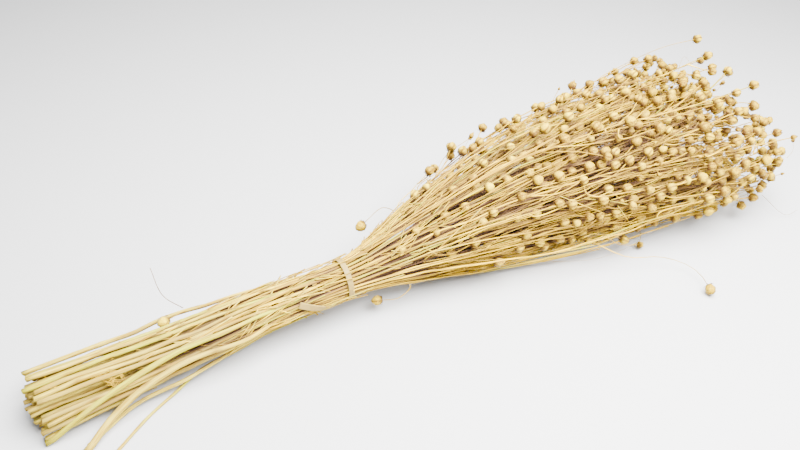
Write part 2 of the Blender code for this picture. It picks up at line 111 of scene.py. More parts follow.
# Seed bolls that stand clear of the bunch
loneBolls = (
    dict(boll=(0.0240, 0.0260, 0.0400), radius=0.0038, leaves=0.054, stalk=((0.044, 0.0300, 0.0450),)),
    dict(boll=(0.0830, 0.0405, 0.0550), radius=0.0038, leaves=0.048, stalk=((0.066, 0.0340, 0.0490),)),
    dict(boll=(0.1030, 0.0470, 0.0640), radius=0.0039, leaves=0.062, stalk=((0.088, 0.0340, 0.0590),)),
    dict(boll=(0.3200, 0.0510, 0.0930), radius=0.0039, leaves=0.205,
         stalk=((0.224, 0.0500, 0.0820), (0.255, 0.0525, 0.0880), (0.290, 0.0525, 0.0930))),
    dict(boll=(0.0170, -0.0100, 0.0090), radius=0.0037, leaves=0.044, stalk=((0.030, -0.0150, 0.0100),)),
    dict(boll=(0.2110, -0.0960, 0.0041), radius=0.0038, leaves=0.150,
         stalk=((0.178, -0.0540, 0.0130), (0.205, -0.0620, 0.0080), (0.2155, -0.0750, 0.0055),
                (0.2150, -0.0870, 0.0046))),
    dict(boll=(0.2040, -0.0400, 0.0032), radius=0.0029, leaves=0.156, stalk=((0.180, -0.0430, 0.0150),)),
    dict(boll=(-0.1022, 0.0222, 0.0202), radius=0.0038, leaves=-0.076, stalk=((-0.090, 0.0195, 0.0250),)),
)

# The flat elastic tie: a ring, and its loose end along the stems
tie = dict(width=0.0035, thickness=0.0009, slack=0.00045, tongueLength=0.031, tongueSteps=8,
           tongueStarts=math.radians(246), tongueEnds=math.radians(156), tongueLift=0.0007)


# The layout, worked out as it is for the solids
xAxis = Vector((1, 0, 0))


def axisHeight(x):
    return float(np.interp(x, *zip(*bunch["axis"])))


def axisPoint(x):
    return Vector((x, 0, axisHeight(x)))


def fromAxis(point):
    return point - axisPoint(point.x)


def softened(share):
    return math.sqrt(share**2 + bunch["softness"]**2) - bunch["softness"]


def headReach(x, reach, at, swell):
    share = 1 - (1 - min(softened(x / at), 1.0)) ** swell
    return tieRadius + (reach - tieRadius) * share


def buttReach(x, reach):
    return tieRadius + (reach - tieRadius) * softened(x / butt["x"])


def reachAt(x, across, upwards):
    # from the bunch's axis out to the outer ring: sideways, and up or down
    if x < 0:
        side, above = buttReach(x, butt["side"]), buttReach(x, butt["up"])
        return side, above if upwards > 0 else min(above, axisHeight(x) - stemSize["radius"][0])
    side = headReach(x, **(head["far"] if across > 0 else head["near"]))
    if upwards > 0:
        return side, headReach(x, **head["up"])
    share = min(x / head["lowFrom"], 1.0)
    atTie = axisHeight(0) - tieRadius
    lowest = atTie + (head["lowest"] - atTie) * share**2 * (3 - 2 * share)
    return side, axisHeight(x) - lowest


def sectionPoint(x, share, angle):
    # angle 0 is the far side, 90 degrees the top, 180 the near side
    across, upwards = math.cos(angle), math.sin(angle)
    side, rise = reachAt(x, across, upwards)
    flatness = 1.0 - head["flattening"] * min(max(x / head["lowFrom"], 0), 1) if upwards < 0 else 1.0
    height = share * math.copysign(abs(upwards) ** flatness, upwards) * rise
    return Vector((x, share * across * side, axisHeight(x) + height))


def outside(point):
    # how far a point lies outside the outer ring, as a share of the ring's reach
    up = point.z - axisHeight(point.x)
    side, rise = reachAt(point.x, point.y, up)
    return math.hypot(point.y / side, up / rise) - 1


def stemRadius(x, thickness, swell):
    share = min(max((x / butt["x"] - stemSize["swellFrom"]) / (stemSize["swellFull"] - stemSize["swellFrom"]),
                    0.0), 1.0)
    return thickness * (1 + (swell - 1) * share) * float(np.interp(x, stemSize["at"], stemSize["radius"]))


class Placed:
    # what has its place already, kept as rounded rods
    def __init__(self):
        self.starts, self.ends, self.radii = np.zeros((0, 3)), np.zeros((0, 3)), np.zeros(0)

    def add(self, points, radii):
        points, radii = np.array([tuple(p) for p in points]), np.array(radii)
        self.starts = np.vstack([self.starts, points[:-1]])
        self.ends = np.vstack([self.ends, points[1:]])
        self.radii = np.concatenate([self.radii, np.maximum(radii[:-1], radii[1:])])

    def addBall(self, centre, radius):
        self.add(*asRod(centre, radius))

    def isFree(self, points, radii, gap=bunch["gap"]):
        points, radii = np.array([tuple(p) for p in points]), np.array(radii)
        distance = rodDistance(points[:-1, None], points[1:, None], self.starts[None], self.ends[None])
        room = np.maximum(radii[:-1], radii[1:])[:, None] + self.radii[None] + gap
        return bool((distance > room).all())

    def isBallFree(self, centre, radius, gap=bunch["gap"]):
        return self.isFree(*asRod(centre, radius), gap)


def asRod(centre, radius):
    return [centre, centre + Vector((1e-6, 0, 0))], [radius] * 2


def rodDistance(p, q, r, s):
    # shortest distance between the segments p-q and r-s, for arrays of them
    d1, d2, w = q - p, s - r, p - r
    a, e = (d1 * d1).sum(-1), (d2 * d2).sum(-1)
    b, c, f = (d1 * d2).sum(-1), (d1 * w).sum(-1), (d2 * w).sum(-1)
    t1 = np.clip((b * f - c * e) / np.maximum(a * e - b * b, 1e-18), 0, 1)
    t2 = np.clip((b * t1 + f) / e, 0, 1)
    t1 = np.clip((b * t2 - c) / a, 0, 1)
    nearest = w + d1 * t1[..., None] - d2 * t2[..., None]
    return np.sqrt((nearest * nearest).sum(-1))


class Stem:
    # one stem's route from its cut end to the tip with its boll, and all that branches off it
    def __init__(self, ring, index):
        self.ring, self.index = ring, index
        self.rng = random.Random(bunch["seed"] * 1000 + ring * 100 + index)
        draw = self.rng.uniform
        self.seat = 2 * math.pi * (index + 0.5 * (ring % 2)) / max(bunch["perRingStep"] * ring, 1)
        self.butt = butt["x"] + draw(-butt["ragged"], butt["ragged"])
        cutBack = head["cutBack"] * max(math.cos(self.seat - head["cutSide"]), 0.0)
        self.tip = head["end"] - cutBack - head["tipRagged"] * draw(0, 1)
        self.turnWay = 1 if ring % 2 else -1
        self.boll = draw(*branch["bollRadius"])
        self.cutSlope = draw(-butt["cutSlope"], butt["cutSlope"])
        self.swell = 1.0
        self.branches = []

    def drawCourse(self, calm):
        draw = self.rng.uniform
        self.calm = calm
        self.thickness = draw(stemSize["thinnest"], 1.0 - 0.5 * (1.0 - stemSize["thinnest"]) * (1 - calm))
        self.turnHead = self.turnWay * draw(*head["turn"])
        self.turnButt = -self.turnWay * draw(*butt["turn"])
        self.leanHead = self.turnWay * head["lean"] * draw(0, 1) ** (2 * calm)
        self.leanButt = self.turnWay * butt["lean"][self.ring] * draw(0, 1)
        self.waves = [(draw(*head["waveRates"]), draw(0, 2 * math.pi), size) for size in head["waveSizes"]]

    def wander(self, x):
        size = head["wander"] * x / head["end"] if x > 0 else butt["wander"][self.ring] * x / butt["x"]
        shifts = [size * share * (math.sin(f * x + p) - math.sin(p)) for f, p, share in self.waves]
        return Vector((0, shifts[0] + shifts[1], shifts[2] + shifts[3])) * self.calm

    def point(self, x):
        far = x / head["end"] if x > 0 else x / butt["x"]
        turn, lean = (self.turnHead, self.leanHead) if x > 0 else (self.turnButt, self.leanButt)
        even = sectionPoint(x, self.ring / bunch["outerRing"], self.seat + turn * far)
        away = (even - axisPoint(x)).normalized()
        place = even + away * lean * far + self.wander(x)
        place.z = max(place.z, stemRadius(x, self.thickness, self.swell) + bunch["gap"] / 2)
        return place

    def layOut(self):
        stray = strayButts.get((self.ring, self.index))
        if stray:
            self.swell = stray[1]
            self.points = [Vector(p) for p in reversed(stray[0])]
        else:
            self.points = [self.point(self.butt), self.point(self.butt * butt["bend"])]
        self.points += [self.point(x) for x in (*bunch["stations"], self.tip)]
        self.radii = [stemRadius(p.x, self.thickness, self.swell) for p in self.points]

    def place(self, placed):
        for attempt in range(bunch["tries"]):
            self.drawCourse(1 - attempt / bunch["tries"])
            self.layOut()
            self.settleTip(placed)
            if placed.isFree(self.points, self.radii) and placed.isBallFree(self.bollCentre(), self.boll):
                break
        self.occupy(placed)

    def occupy(self, placed):
        placed.add(self.points, self.radii)
        placed.addBall(self.bollCentre(), self.boll)

    def bollCentre(self):
        return self.points[-1] + (self.points[-1] - self.points[-2]).normalized() * self.boll

    def settleTip(self, placed):
        for _ in range(stemSize["settleSteps"]):
            height = self.bollCentre().z - self.boll * branch["bollSwell"]
            if height < stemSize["lowBoll"]:
                self.points[-1].z -= height
            if placed.isBallFree(self.bollCentre(), self.boll):
                return
            self.points[-1] = self.points[-1].lerp(self.points[-2], stemSize["settleBack"])

    def at(self, x):
        for here, ahead in zip(self.points, self.points[1:]):
            if here.x <= x <= ahead.x:
                return here.lerp(ahead, (x - here.x) / (ahead.x - here.x)), (ahead - here).normalized()
        return self.points[-1].copy(), (self.points[-1] - self.points[-2]).normalized()

    def radiusAt(self, x):
        return stemRadius(x, self.thickness, self.swell)

    def taken(self, leaves):
        return any(abs(b["leaves"] - leaves) < branch["forkRoom"] for b in self.branches)


def squareTo(axis, hint):
    return (hint - axis * hint.dot(axis)).normalized()


def anyWay(draw):
    return Vector((draw(-1, 1), draw(-1, 1), draw(-1, 1)))


def addBranch(stem, placed, leaves, out, route, centre, boll, must=False):
    start, along = stem.at(leaves)
    if (route or [centre])[0].x < start.x:
        along = -along
    standOff = stem.radiusAt(leaves) + branch["radius"] + branch["standsOff"]
    points = [start + out * standOff + along * branch["forward"], *route]
    toward = (centre - points[-1]).normalized()
    points.append(centre - toward * boll)
    radii = [branch["radius"]] * len(points)
    clear = (placed.isFree(points, radii) and placed.isBallFree(centre, boll * branch["bollSwell"])
             and min(p.z for p in points) > branch["radius"])
    if clear or must:
        stem.branches.append(dict(leaves=leaves, points=points, boll=boll, centre=centre))
        placed.add(points, radii)
        placed.addBall(centre, boll * branch["bollSwell"])
    return clear or must


def addLoneBoll(stems, placed, boll, radius, leaves, stalk):
    route = [Vector(p) for p in stalk]
    free = [stem for stem in stems if not stem.taken(leaves)]
    stem = min(free, key=lambda s: (s.at(leaves)[0] - route[0]).length)
    start, along = stem.at(leaves)
    addBranch(stem, placed, leaves, squareTo(along, route[0] - start), route, Vector(boll), radius, must=True)
    stem.branches[-1]["radius"] = branch["loneRadius"]


def tryBranch(stem, placed, span):
    draw = stem.rng.uniform
    for _ in range(bunch["tries"]):
        leaves = draw(*span) * stem.tip
        length, lean = draw(*branch["length"]), draw(*branch["lean"])
        boll = draw(*branch["bollRadius"])
        start, along = stem.at(leaves)
        away = squareTo(along, start - axisPoint(leaves))
        out = Quaternion(along, draw(-branch["around"], branch["around"])) @ away
        centre = start + along * length + out * length * lean
        lying = boll * branch["bollSwell"]
        if centre.z < lying + stemSize["lowBoll"]:
            centre.z = lying
        if stem.taken(leaves) or outside(centre) > branch["outsideMost"]:
            continue
        if addBranch(stem, placed, leaves, out, [], centre, boll):
            return


def tongueRoute():
    # the middle of the loose end and its width direction, step by step
    lift = stemSize["radius"][0] + tie["slack"] + tie["thickness"] / 2
    steps = tie["tongueSteps"]
    middles, outwards = [], []
    for step in range(steps + 1):
        share = step / steps
        x = -tie["width"] / 2 - share * tie["tongueLength"]
        base = sectionPoint(x, 1.0, tie["tongueStarts"] + (tie["tongueEnds"] - tie["tongueStarts"]) * share)
        outwards.append((base - axisPoint(x)).normalized())
        middles.append(base + outwards[-1] * (lift + tie["tongueLift"] * share))
    paths = [middles[min(step + 1, steps)] - middles[step - 1] for step in range(1, steps + 1)]
    return [(middle, out.cross(path).normalized())
            for middle, out, path in zip(middles[1:], outwards[1:], paths)]


def roomByTongue():
    placed = Placed()
    for side in (-0.5, 0.0, 0.5):
        line = [point + wide * (tie["width"] * side) for point, wide in tongueRoute()]
        placed.add(line, [tie["thickness"] / 2] * len(line))
    return placed


def ringStems(rings):
    return [Stem(ring, index) for ring in rings for index in range(max(bunch["perRingStep"] * ring, 1))]


def laySolidStems():
    placed = roomByTongue()
    for lone in loneBolls:
        keptFree = [Vector(p) for p in (*lone["stalk"], lone["boll"])]
        placed.add(keptFree, [branch["radius"]] * len(keptFree))
        placed.addBall(keptFree[-1], lone["radius"] * branch["bollSwell"])
    stems = ringStems(bunch["solidRings"])
    for stem in sorted(stems, key=lambda s: (s.ring, s.index) not in strayButts):
        stem.place(placed)

    placed = roomByTongue()
    for stem in stems:
        stem.occupy(placed)
    for lone in loneBolls:
        addLoneBoll(stems, placed, **lone)
    for number in range(2):
        for stem in stems:
            for span in branch["spans"][stem.ring][number:number + 1]:
                tryBranch(stem, placed, span)
    return stems, placed


stems, placed = laySolidStems()
# the boll low on the stray stem shows in front of it
for twig in [twig for stem in stems for twig in stem.branches if "radius" in twig and twig["centre"].x < 0]:
    for point, share in zip(twig["points"][-2:], (0.5, 1.0)):
        point += Vector(branch["shifted"]) * share
innerStems = ringStems(bunch["innerRings"])
for stem in innerStems:
    stem.place(placed)
allStems = [*stems, *innerStems]
print("laid", len(stems), "stems of the solids and", len(innerStems), "inner ones")


# The camera, and what it sees where: the photograph's frame in this script's places. Spots on a
# sight begin at nearest, a step and a number of steps each

view = dict(
    camera=(-0.1273, -0.3125, 0.3300), ahead=(0.3700, 0.6957, -0.6157), lens=33.75, sensor=36.0,
    width=800, height=450, nearest=0.25, closeSteps=(0.0005, 900), wideSteps=(0.001, 500),
    floorAt=0.0006, clearOfFloor=0.004,
)
cameraAt, sightAhead = Vector(view["camera"]), Vector(view["ahead"]).normalized()
sightRight = sightAhead.cross(Vector((0, 0, 1))).normalized()
sightUp = sightRight.cross(sightAhead)
focal = view["lens"] / view["sensor"] * view["width"]


def sightAt(px, py):
    # the way in which the camera sees a pixel
    return (sightAhead + sightRight * ((px - view["width"] / 2) / focal)
            + sightUp * ((view["height"] / 2 - py) / focal)).normalized()


def atHeight(px, py, height):
    sight = sightAt(px, py)
    return cameraAt + sight * ((height - cameraAt.z) / sight.z)


def seenAt(point):
    # the pixel at which the camera sees a point
    way = Vector(point) - cameraAt
    scale = focal / way.dot(sightAhead)
    return view["width"] / 2 + way.dot(sightRight) * scale, view["height"] / 2 - way.dot(sightUp) * scale


def spotsOn(sight, step, count):
    return (cameraAt + sight * (view["nearest"] + number * step) for number in range(count))


def onBunch(px, py, lift):
    # where the camera's ray first comes within lift of the bunch's outer ring, or of the floor
    for spot in spotsOn(sightAt(px, py), *view["closeSteps"]):
        side, _ = reachAt(spot.x, spot.y, spot.z - axisHeight(spot.x))
        if outside(spot) * side < lift or spot.z < view["floorAt"]:
            break
    return spot


def besideBunch(px, py):
    # where the camera's ray comes nearest to the bunch, for what stands against the background
    inReach = [s for s in spotsOn(sightAt(px, py), *view["wideSteps"])
               if s.z > view["clearOfFloor"] and s.x < shown["furthest"] and s.y < shown["farthest"]]
    return min(inReach, key=outside)


# Fine twigs that the head forks into, besides the branches that the solids have

forks = dict(
    perStem=(2, 5), first=0.46, last=0.985, crowded=0.62, bow=0.28, sideBow=0.06,
    length=(0.020, 0.052), lean=(0.10, 0.55), around=2.4, outsideMost=0.08, farUpMost=0.22,
    radius=0.00030, bollRadius=(0.0030, 0.0040), bollGap=0.0001, budShare=0.20, budRadius=(0.0009, 0.0016),
    perBranch=0.8, sideFrom=0.05, sideStart=(0.25, 0.75), sideLength=(0.012, 0.026), sideLean=(0.25, 0.8),
    sideBudShare=0.35, tries=60, furthest=0.3385, corner=((650, 52), (778, 128)), lastPixel=783,
)

# Long thin stalks that leave their stem low in the head and end in bolls all along it
stalks = dict(
    perStem={5: (5, 7), 4: (7, 9), 3: (8, 10), 2: (9, 11), 1: (9, 11), 0: (10, 10)},
    ends=(0.060, 0.268), crowded=0.60, length=(0.055, 0.190), first=0.004,
    inside=0.15, outside=1.0, farUp=0.20, farUpAt=math.radians(52), furthestOut=-0.02, turn=0.42,
    spread=1.2, wave=0.0022, steps=4, pedicel=(0.006, 0.013), lean=(0.05, 0.7), around=2.0,
    radius=0.00050, tipRadius=0.00024, clearShare=0.7, overlap=-0.0005, tries=40,
)

# All that is laid so far is in placed. Of the head's bolls and twigs, balls has the bolls alone
balls = Placed()


def takeRoom(points, radius, centre, room, hasRoom):
    # a twig and its boll take their place, where there is room and no boll in the twig's way
    way = points[1:], [radius] * (len(points) - 1)
    if not (hasRoom and balls.isFree(*way, 0.0)):
        return False
    placed.add(*way)
    for kept in (placed, balls):
        kept.addBall(centre, room)
    return True


def beyondHead(centre, boll):
    # the far upper corner of the head is cut back, and nothing reaches past its end
    px, py = seenAt(centre)
    low, high = forks["corner"]
    tooHigh = px > low[0] and py < low[1] + (px - low[0]) * (high[1] - low[1]) / (high[0] - low[0])
    return tooHigh or px > forks["lastPixel"] or centre.x + boll > forks["furthest"]


def growFork(stem, start, along, away, length, lean, around, mostOut, budShare):
    # a twig that leaves along its stem and bends outward, in three points
    draw = stem.forkRng.uniform
    out = Quaternion(along, draw(-around, around)) @ away
    side = squareTo(along, anyWay(draw))
    bow = (out * length * lean * forks["bow"]
           + side * length * draw(-forks["sideBow"], forks["sideBow"]))
    points = [start, start + along * length * 0.5 + bow]
    centre = start + along * length + out * length * lean
    isBud = stem.forkRng.random() < budShare
    boll = draw(*forks["budRadius" if isBud else "bollRadius"])
    room = boll * branch["bollSwell"]
    if centre.z < room + forks["radius"]:
        centre.z = room + forks["radius"]
        points[1].z = max(points[1].z, forks["radius"] * 2)
    points.append(centre - (centre - points[1]).normalized() * boll)
    hasRoom = (outside(centre) <= mostOut and not beyondHead(centre, boll)
               and placed.isBallFree(centre, room, forks["bollGap"]))
    grows = takeRoom(points, forks["radius"], centre, room, hasRoom)
    if grows:
        stem.forks.append(dict(points=points, boll=boll, centre=centre, isBud=isBud))
    return grows


def forkStem(stem):
    rng = stem.forkRng
    draw = rng.uniform
    for _ in range(rng.randint(*forks["perStem"])):
        for _ in range(forks["tries"]):
            share = forks["first"] + (forks["last"] - forks["first"]) * draw(0, 1) ** forks["crowded"]
            start, along = stem.at(share * stem.tip)
            away = squareTo(along, fromAxis(start))
            # the far upper side of the head is loose and reaches out further
            loose = max(away.y + away.z, 0) / math.sqrt(2)
            mostOut = forks["outsideMost"] + (forks["farUpMost"] - forks["outsideMost"]) * loose**2
            if growFork(stem, start, along, away, draw(*forks["length"]), draw(*forks["lean"]),
                        forks["around"], mostOut, forks["budShare"]):
                break
    for twig in stem.branches:
        if rng.random() > forks["perBranch"] or twig["points"][0].x < forks["sideFrom"]:
            continue
        first, last = twig["points"][-2:]
        along = (last - first).normalized()
        for _ in range(forks["tries"]):
            start = first.lerp(last, draw(*forks["sideStart"]))
            away = squareTo(along, anyWay(draw))
            if growFork(stem, start, along, away, draw(*forks["sideLength"]), draw(*forks["sideLean"]),
                        math.pi, forks["farUpMost"], forks["sideBudShare"]):
                break


def sectionPlace(point):
    # the share and the angle that sectionPoint would need for this place, near enough
    up = point.z - axisHeight(point.x)
    side, rise = reachAt(point.x, point.y, up)
    return math.hypot(point.y / side, up / rise), math.atan2(up / rise, point.y / side)


# Bolls that the photograph shows, by the pixel of their middle: on the near face of the head, and
# against the background
shown = dict(
    face=(
        (454, 190), (452, 177), (476, 159), (484, 163), (476, 186), (490, 187), (511, 147), (516, 127),
        (540, 144), (560, 147), (580, 127), (539, 180), (560, 176), (523, 196), (560, 203), (494, 212),
        (504, 213), (518, 217), (527, 234), (572, 239), (577, 223), (565, 222), (476, 242), (452, 254),
        (500, 262), (402, 249), (417, 231), (401, 240), (591, 139), (594, 151), (584, 180), (587, 187),
        (590, 217), (589, 241), (606, 151), (616, 152), (602, 164), (609, 172), (619, 138), (637, 141),
        (639, 125), (622, 118), (658, 134), (669, 130), (678, 118), (701, 118), (707, 128), (718, 134),
        (731, 139), (740, 139), (747, 131), (732, 121), (709, 152), (718, 151), (673, 152), (660, 161),
        (642, 166), (722, 170), (688, 180), (737, 171), (746, 163), (752, 188), (730, 189), (718, 194),
        (690, 200), (676, 218), (700, 210), (612, 219), (641, 217), (661, 196), (628, 188), (647, 187),
        (609, 189), (634, 199), (604, 200), (762, 172), (758, 181), (512, 160), (530, 160), (548, 128),
        (567, 112), (600, 108), (612, 98), (650, 110), (690, 140), (655, 222), (560, 232), (545, 246),
        (537, 214), (483, 222), (466, 207), (446, 216), (437, 232), (508, 180), (600, 128), (573, 158),
        (630, 160), (746, 123), (758, 131), (756, 118), (727, 98), (736, 119), (755, 106), (674, 225),
        (778, 152), (763, 185), (713, 72), (752, 141), (743, 183), (727, 128), (718, 198), (757, 172),
        (735, 165), (692, 93), (697, 76), (631, 131), (667, 120), (486, 130), (451, 155), (637, 56),
        (728, 70), (625, 240), (700, 96),
    ),
    edge=(
        (483, 127), (490, 132), (504, 121), (522, 117), (536, 107), (546, 113), (567, 100), (590, 84),
        (601, 92), (612, 80), (627, 72), (636, 59), (636, 80), (637, 88), (657, 80), (664, 73), (668, 84),
        (684, 82), (697, 73), (699, 86), (697, 97), (713, 67), (714, 75), (729, 72), (722, 100), (729, 98),
        (754, 104), (728, 111), (747, 116), (769, 120), (756, 124), (762, 130), (773, 142), (770, 152),
        (778, 151), (780, 160), (771, 168), (440, 182), (463, 150), (470, 168),
    ),
    front=((427, 187), (415, 194), (500, 262)), frontLift=0.0060, frontStep=0.014,
    small=((559, 89), (470, 138), (644, 67), (721, 84), (714, 90)),
    furthest=0.326, farthest=0.086, leaves=(0.016, 0.045), bendAt=0.55, bow=0.10, radius=0.00034,
    bollRadius=(0.0031, 0.0039), squeeze=0.94, sink=(-0.003, 0.0006), missed=0.06,
)


def facePlace(px, py, lift):
    # on the near face of the head, or at its edge where the camera's ray misses it
    spot = onBunch(px, py, lift)
    return spot if outside(spot) < shown["missed"] else besideBunch(px, py)


def growShown(spot, isBud):
    draw = shownRng.uniform
    boll = draw(*(forks["budRadius"] if isBud else shown["bollRadius"]))
    spot.z = max(spot.z, boll * branch["bollSwell"])
    for _ in range(forks["tries"]):
        leaves = spot.x - draw(*shown["leaves"])
        share, angle = sectionPlace(spot)
        behind = sectionPoint(leaves, min(share, 1.0), angle)
        stem = min(stems, key=lambda s: (s.at(leaves)[0] - behind).length)
        start = stem.at(leaves)[0]
        reach = spot - start
        middle = start + reach * shown["bendAt"] + anyWay(draw) * reach.length * shown["bow"]
        middle.z = max(middle.z, shown["radius"] * 2)
        points = [start, middle, spot - (spot - middle).normalized() * boll]
        hasRoom = balls.isBallFree(spot, boll * shown["squeeze"], 0.0)
        if takeRoom(points, shown["radius"], spot, boll, hasRoom):
            stem.forks.append(dict(points=points, boll=boll, centre=spot, isBud=isBud))
            return


def stalkRoute(draw, stem, end):
    leaves = max(stalks["first"], end - draw(*stalks["length"]))
    start = stem.at(leaves)[0]
    share, angle = sectionPlace(start)
    toShare = max(draw(stalks["inside"], stalks["outside"]), min(share, 1.0))
    turn = draw(-stalks["turn"], stalks["turn"])
    loose = max(math.cos(angle + turn - stalks["farUpAt"]), 0) ** 3
    toShare += stalks["farUp"] * loose * draw(0, 1)
    points = [start]
    for step in range(1, stalks["steps"] + 1):
        gone = step / stalks["steps"]
        spot = sectionPoint(leaves + (end - leaves) * gone,
                            share + (toShare - share) * gone ** stalks["spread"], angle + turn * gone)
        spot += Vector((0, draw(-1, 1), draw(-1, 1))) * stalks["wave"] * gone
        spot.z = max(spot.z, stalks["radius"] * 1.5)
        points.append(spot)
    return points


def growStalks(stem):
    draw, (low, high) = stem.forkRng.uniform, stalks["ends"]
    for _ in range(stem.forkRng.randint(*stalks["perStem"][stem.ring])):
        for _ in range(stalks["tries"]):
            points = stalkRoute(draw, stem, low + (high - low) * draw(0, 1) ** stalks["crowded"])
            along = (points[-1] - points[-2]).normalized()
            away = squareTo(along, fromAxis(points[-1]))
            out = Quaternion(along, draw(-stalks["around"], stalks["around"])) @ away
            lean, length, boll = draw(*stalks["lean"]), draw(*stalks["pedicel"]), draw(*forks["bollRadius"])
            toward = along * math.cos(lean) + out * math.sin(lean)
            centre = points[-1] + toward * (length + boll)
            centre.z = max(centre.z, boll * branch["bollSwell"])
            points.append(centre - (centre - points[-1]).normalized() * boll)
            far = squareTo(xAxis, fromAxis(centre))
            loose = max(far.y + far.z, 0) / math.sqrt(2)
            hasRoom = (outside(centre) <= stalks["furthestOut"] + stalks["farUp"] * loose**4
                       and not beyondHead(centre, boll)
                       and placed.isBallFree(centre, boll, stalks["overlap"]))
            if takeRoom(points, stalks["radius"] * stalks["clearShare"], centre, boll, hasRoom):
                stem.stalks.append(dict(points=points, boll=boll, centre=centre))
                break


for stem in allStems:
    stem.forks, stem.stalks = [], []
    stem.forkRng = random.Random(bunch["seed"] * 77 + stem.ring * 100 + stem.index)
    balls.addBall(stem.bollCentre(), stem.boll)
    for twig in stem.branches:
        balls.addBall(twig["centre"], twig["boll"] * branch["bollSwell"])
shownRng = random.Random(bunch["seed"] * 3)
for pixel in shown["edge"]:
    growShown(besideBunch(*pixel), False)
for pixel in shown["front"]:
    growShown(facePlace(*pixel, shown["frontLift"]) - sightAt(*pixel) * shown["frontStep"], False)
for pixel in shown["small"]:
    growShown(besideBunch(*pixel), True)
for pixel in shown["face"]:
    growShown(facePlace(*pixel, shownRng.uniform(*shown["sink"])), False)
for stem in allStems:
    growStalks(stem)
for stem in allStems:
    forkStem(stem)
print("grew", sum(len(s.stalks) for s in allStems), "long stalks and",
      sum(len(s.forks) for s in allStems), "short twigs")


# Models, each made once. A straw runs from z = 0 to 1 at radius 1, and a boll stands on its stalk

def enter(mode):
    bpy.ops.object.mode_set(mode=mode)


def deselectAll():
    if bpy.context.object and bpy.context.object.mode != "OBJECT":
        enter("OBJECT")
    bpy.ops.object.select_all(action="DESELECT")


def smoothAll():
    bpy.ops.mesh.select_all(action="SELECT")
    bpy.ops.mesh.faces_shade_smooth()


def pick(obj, kind, test):
    # selects the vertices, edges or faces that pass a test, from edit mode
    bpy.ops.mesh.select_mode(type=kind)
    bpy.ops.mesh.select_all(action="DESELECT")
    enter("OBJECT")
    mesh = obj.data
    spots = [v.co.copy() for v in mesh.vertices]
    parts, given = {"VERT": (mesh.vertices, lambda vert: [vert.co]),
                    "EDGE": (mesh.edges, lambda edge: [spots[i] for i in edge.vertices]),
                    "FACE": (mesh.polygons, lambda face: [face.center, face.normal])}[kind]
    for part in parts:
        part.select = test(*given(part))
    enter("EDIT")


def reshape(obj, test, **steps):
    # resizes or translates the vertices that pass a test
    pick(obj, "VERT", test)
    for name, value in steps.items():
        getattr(bpy.ops.transform, name)(value=value)


def joinTo(first, others):
    deselectAll()
    for obj in (first, *others):
        obj.select_set(True)
    bpy.context.view_layer.objects.active = first
    bpy.ops.object.join()


def startModel(name, add, **settings):
    deselectAll()
    add(**settings)
    obj = bpy.context.object
    obj.name = name
    enter("EDIT")
    return obj


def readModel(obj, markOf):
    # takes the finished model's mesh as arrays, with a map that is cut open along one side
    enter("OBJECT")
    faces = obj.data.polygons
    co = np.array([v.co for v in obj.data.vertices])
    loops = np.array([v for f in faces for v in f.vertices])
    sizes = np.array([len(f.vertices) for f in faces])
    roundShare = np.arctan2(co[:, 1], co[:, 0]) / (2 * math.pi) % 1.0
    tall = co[:, 2].max()
    uv = np.stack([co[loops, 2] / tall, roundShare[loops]], axis=1)
    for face in faces:
        own = slice(face.loop_start, face.loop_start + face.loop_total)
        if np.ptp(uv[own, 1]) > 0.5:
            uv[own, 1] += uv[own, 1] < 0.5
        # the ends lie small in their row
        if len(face.vertices) > 4 or abs(face.normal.z) > 0.95:
            uv[own, 0] = uv[own, 0].mean() * 0.99 + 0.004 + 0.004 * co[loops[own], 0]
            uv[own, 1] = 0.5 + 0.4 * co[loops[own], 1]
    model = dict(co=co, loops=loops, sizes=sizes, uv=uv, mark=np.array([markOf(v) for v in co]),
                 smooth=np.array([f.use_smooth for f in faces]),
                 slot=np.array([f.material_index for f in faces]))
    bpy.data.objects.remove(obj)
    return model


strawShape = dict(rim=0.22, pith=0.7, sink=0.0016)


def modelStraw(name, sides, rings, sink=0):
    # a rod, and for a hollow one the pith is sunk into the cut end at z = 0
    straw = startModel(name, bpy.ops.mesh.primitive_cylinder_add, vertices=sides, radius=1, depth=1,
                       location=(0, 0, 0.5))
    enter("OBJECT")
    bpy.ops.object.transform_apply()
    enter("EDIT")
    smoothAll()
    pick(straw, "EDGE", lambda a, b: abs(a.z - b.z) > 0.5)
    bpy.ops.mesh.subdivide(number_cuts=rings - 2)
    if sink:
        pick(straw, "FACE", lambda c, n: n.z < -0.9)
        bpy.ops.mesh.inset(thickness=strawShape["rim"])
        bpy.ops.mesh.extrude_region_move(TRANSFORM_OT_translate=dict(value=(0, 0, sink)))
        bpy.ops.transform.resize(value=(strawShape["pith"], strawShape["pith"], 1))
        pick(straw, "FACE", lambda c, n: n.z < -0.9)
        bpy.ops.mesh.faces_shade_flat()
    return readModel(straw, lambda co: float(math.hypot(co[0], co[1]) < 0.9))


bollShape = dict(
    sides=10, rings=6, groove=0.82, beak=0.20, shoulder=0.05, base=0.16, bare=0.25,
    openBeak=-0.40, openShoulder=0.17, gape=0.6, gapeDown=-0.22,
    sepals=5, sepalSize=(0.07, 0.204, 0.55), sepalTilt=math.radians(-38), sepalPlace=(0.80, 0, 0.36),
    budTip=1.1, budUp=0.35, budNarrow=0.8,
)


def inGroove(co):
    lobe = 2 * math.pi / bollShape["sides"]
    return round(math.atan2(co.y, co.x) / lobe) % 2 == 1


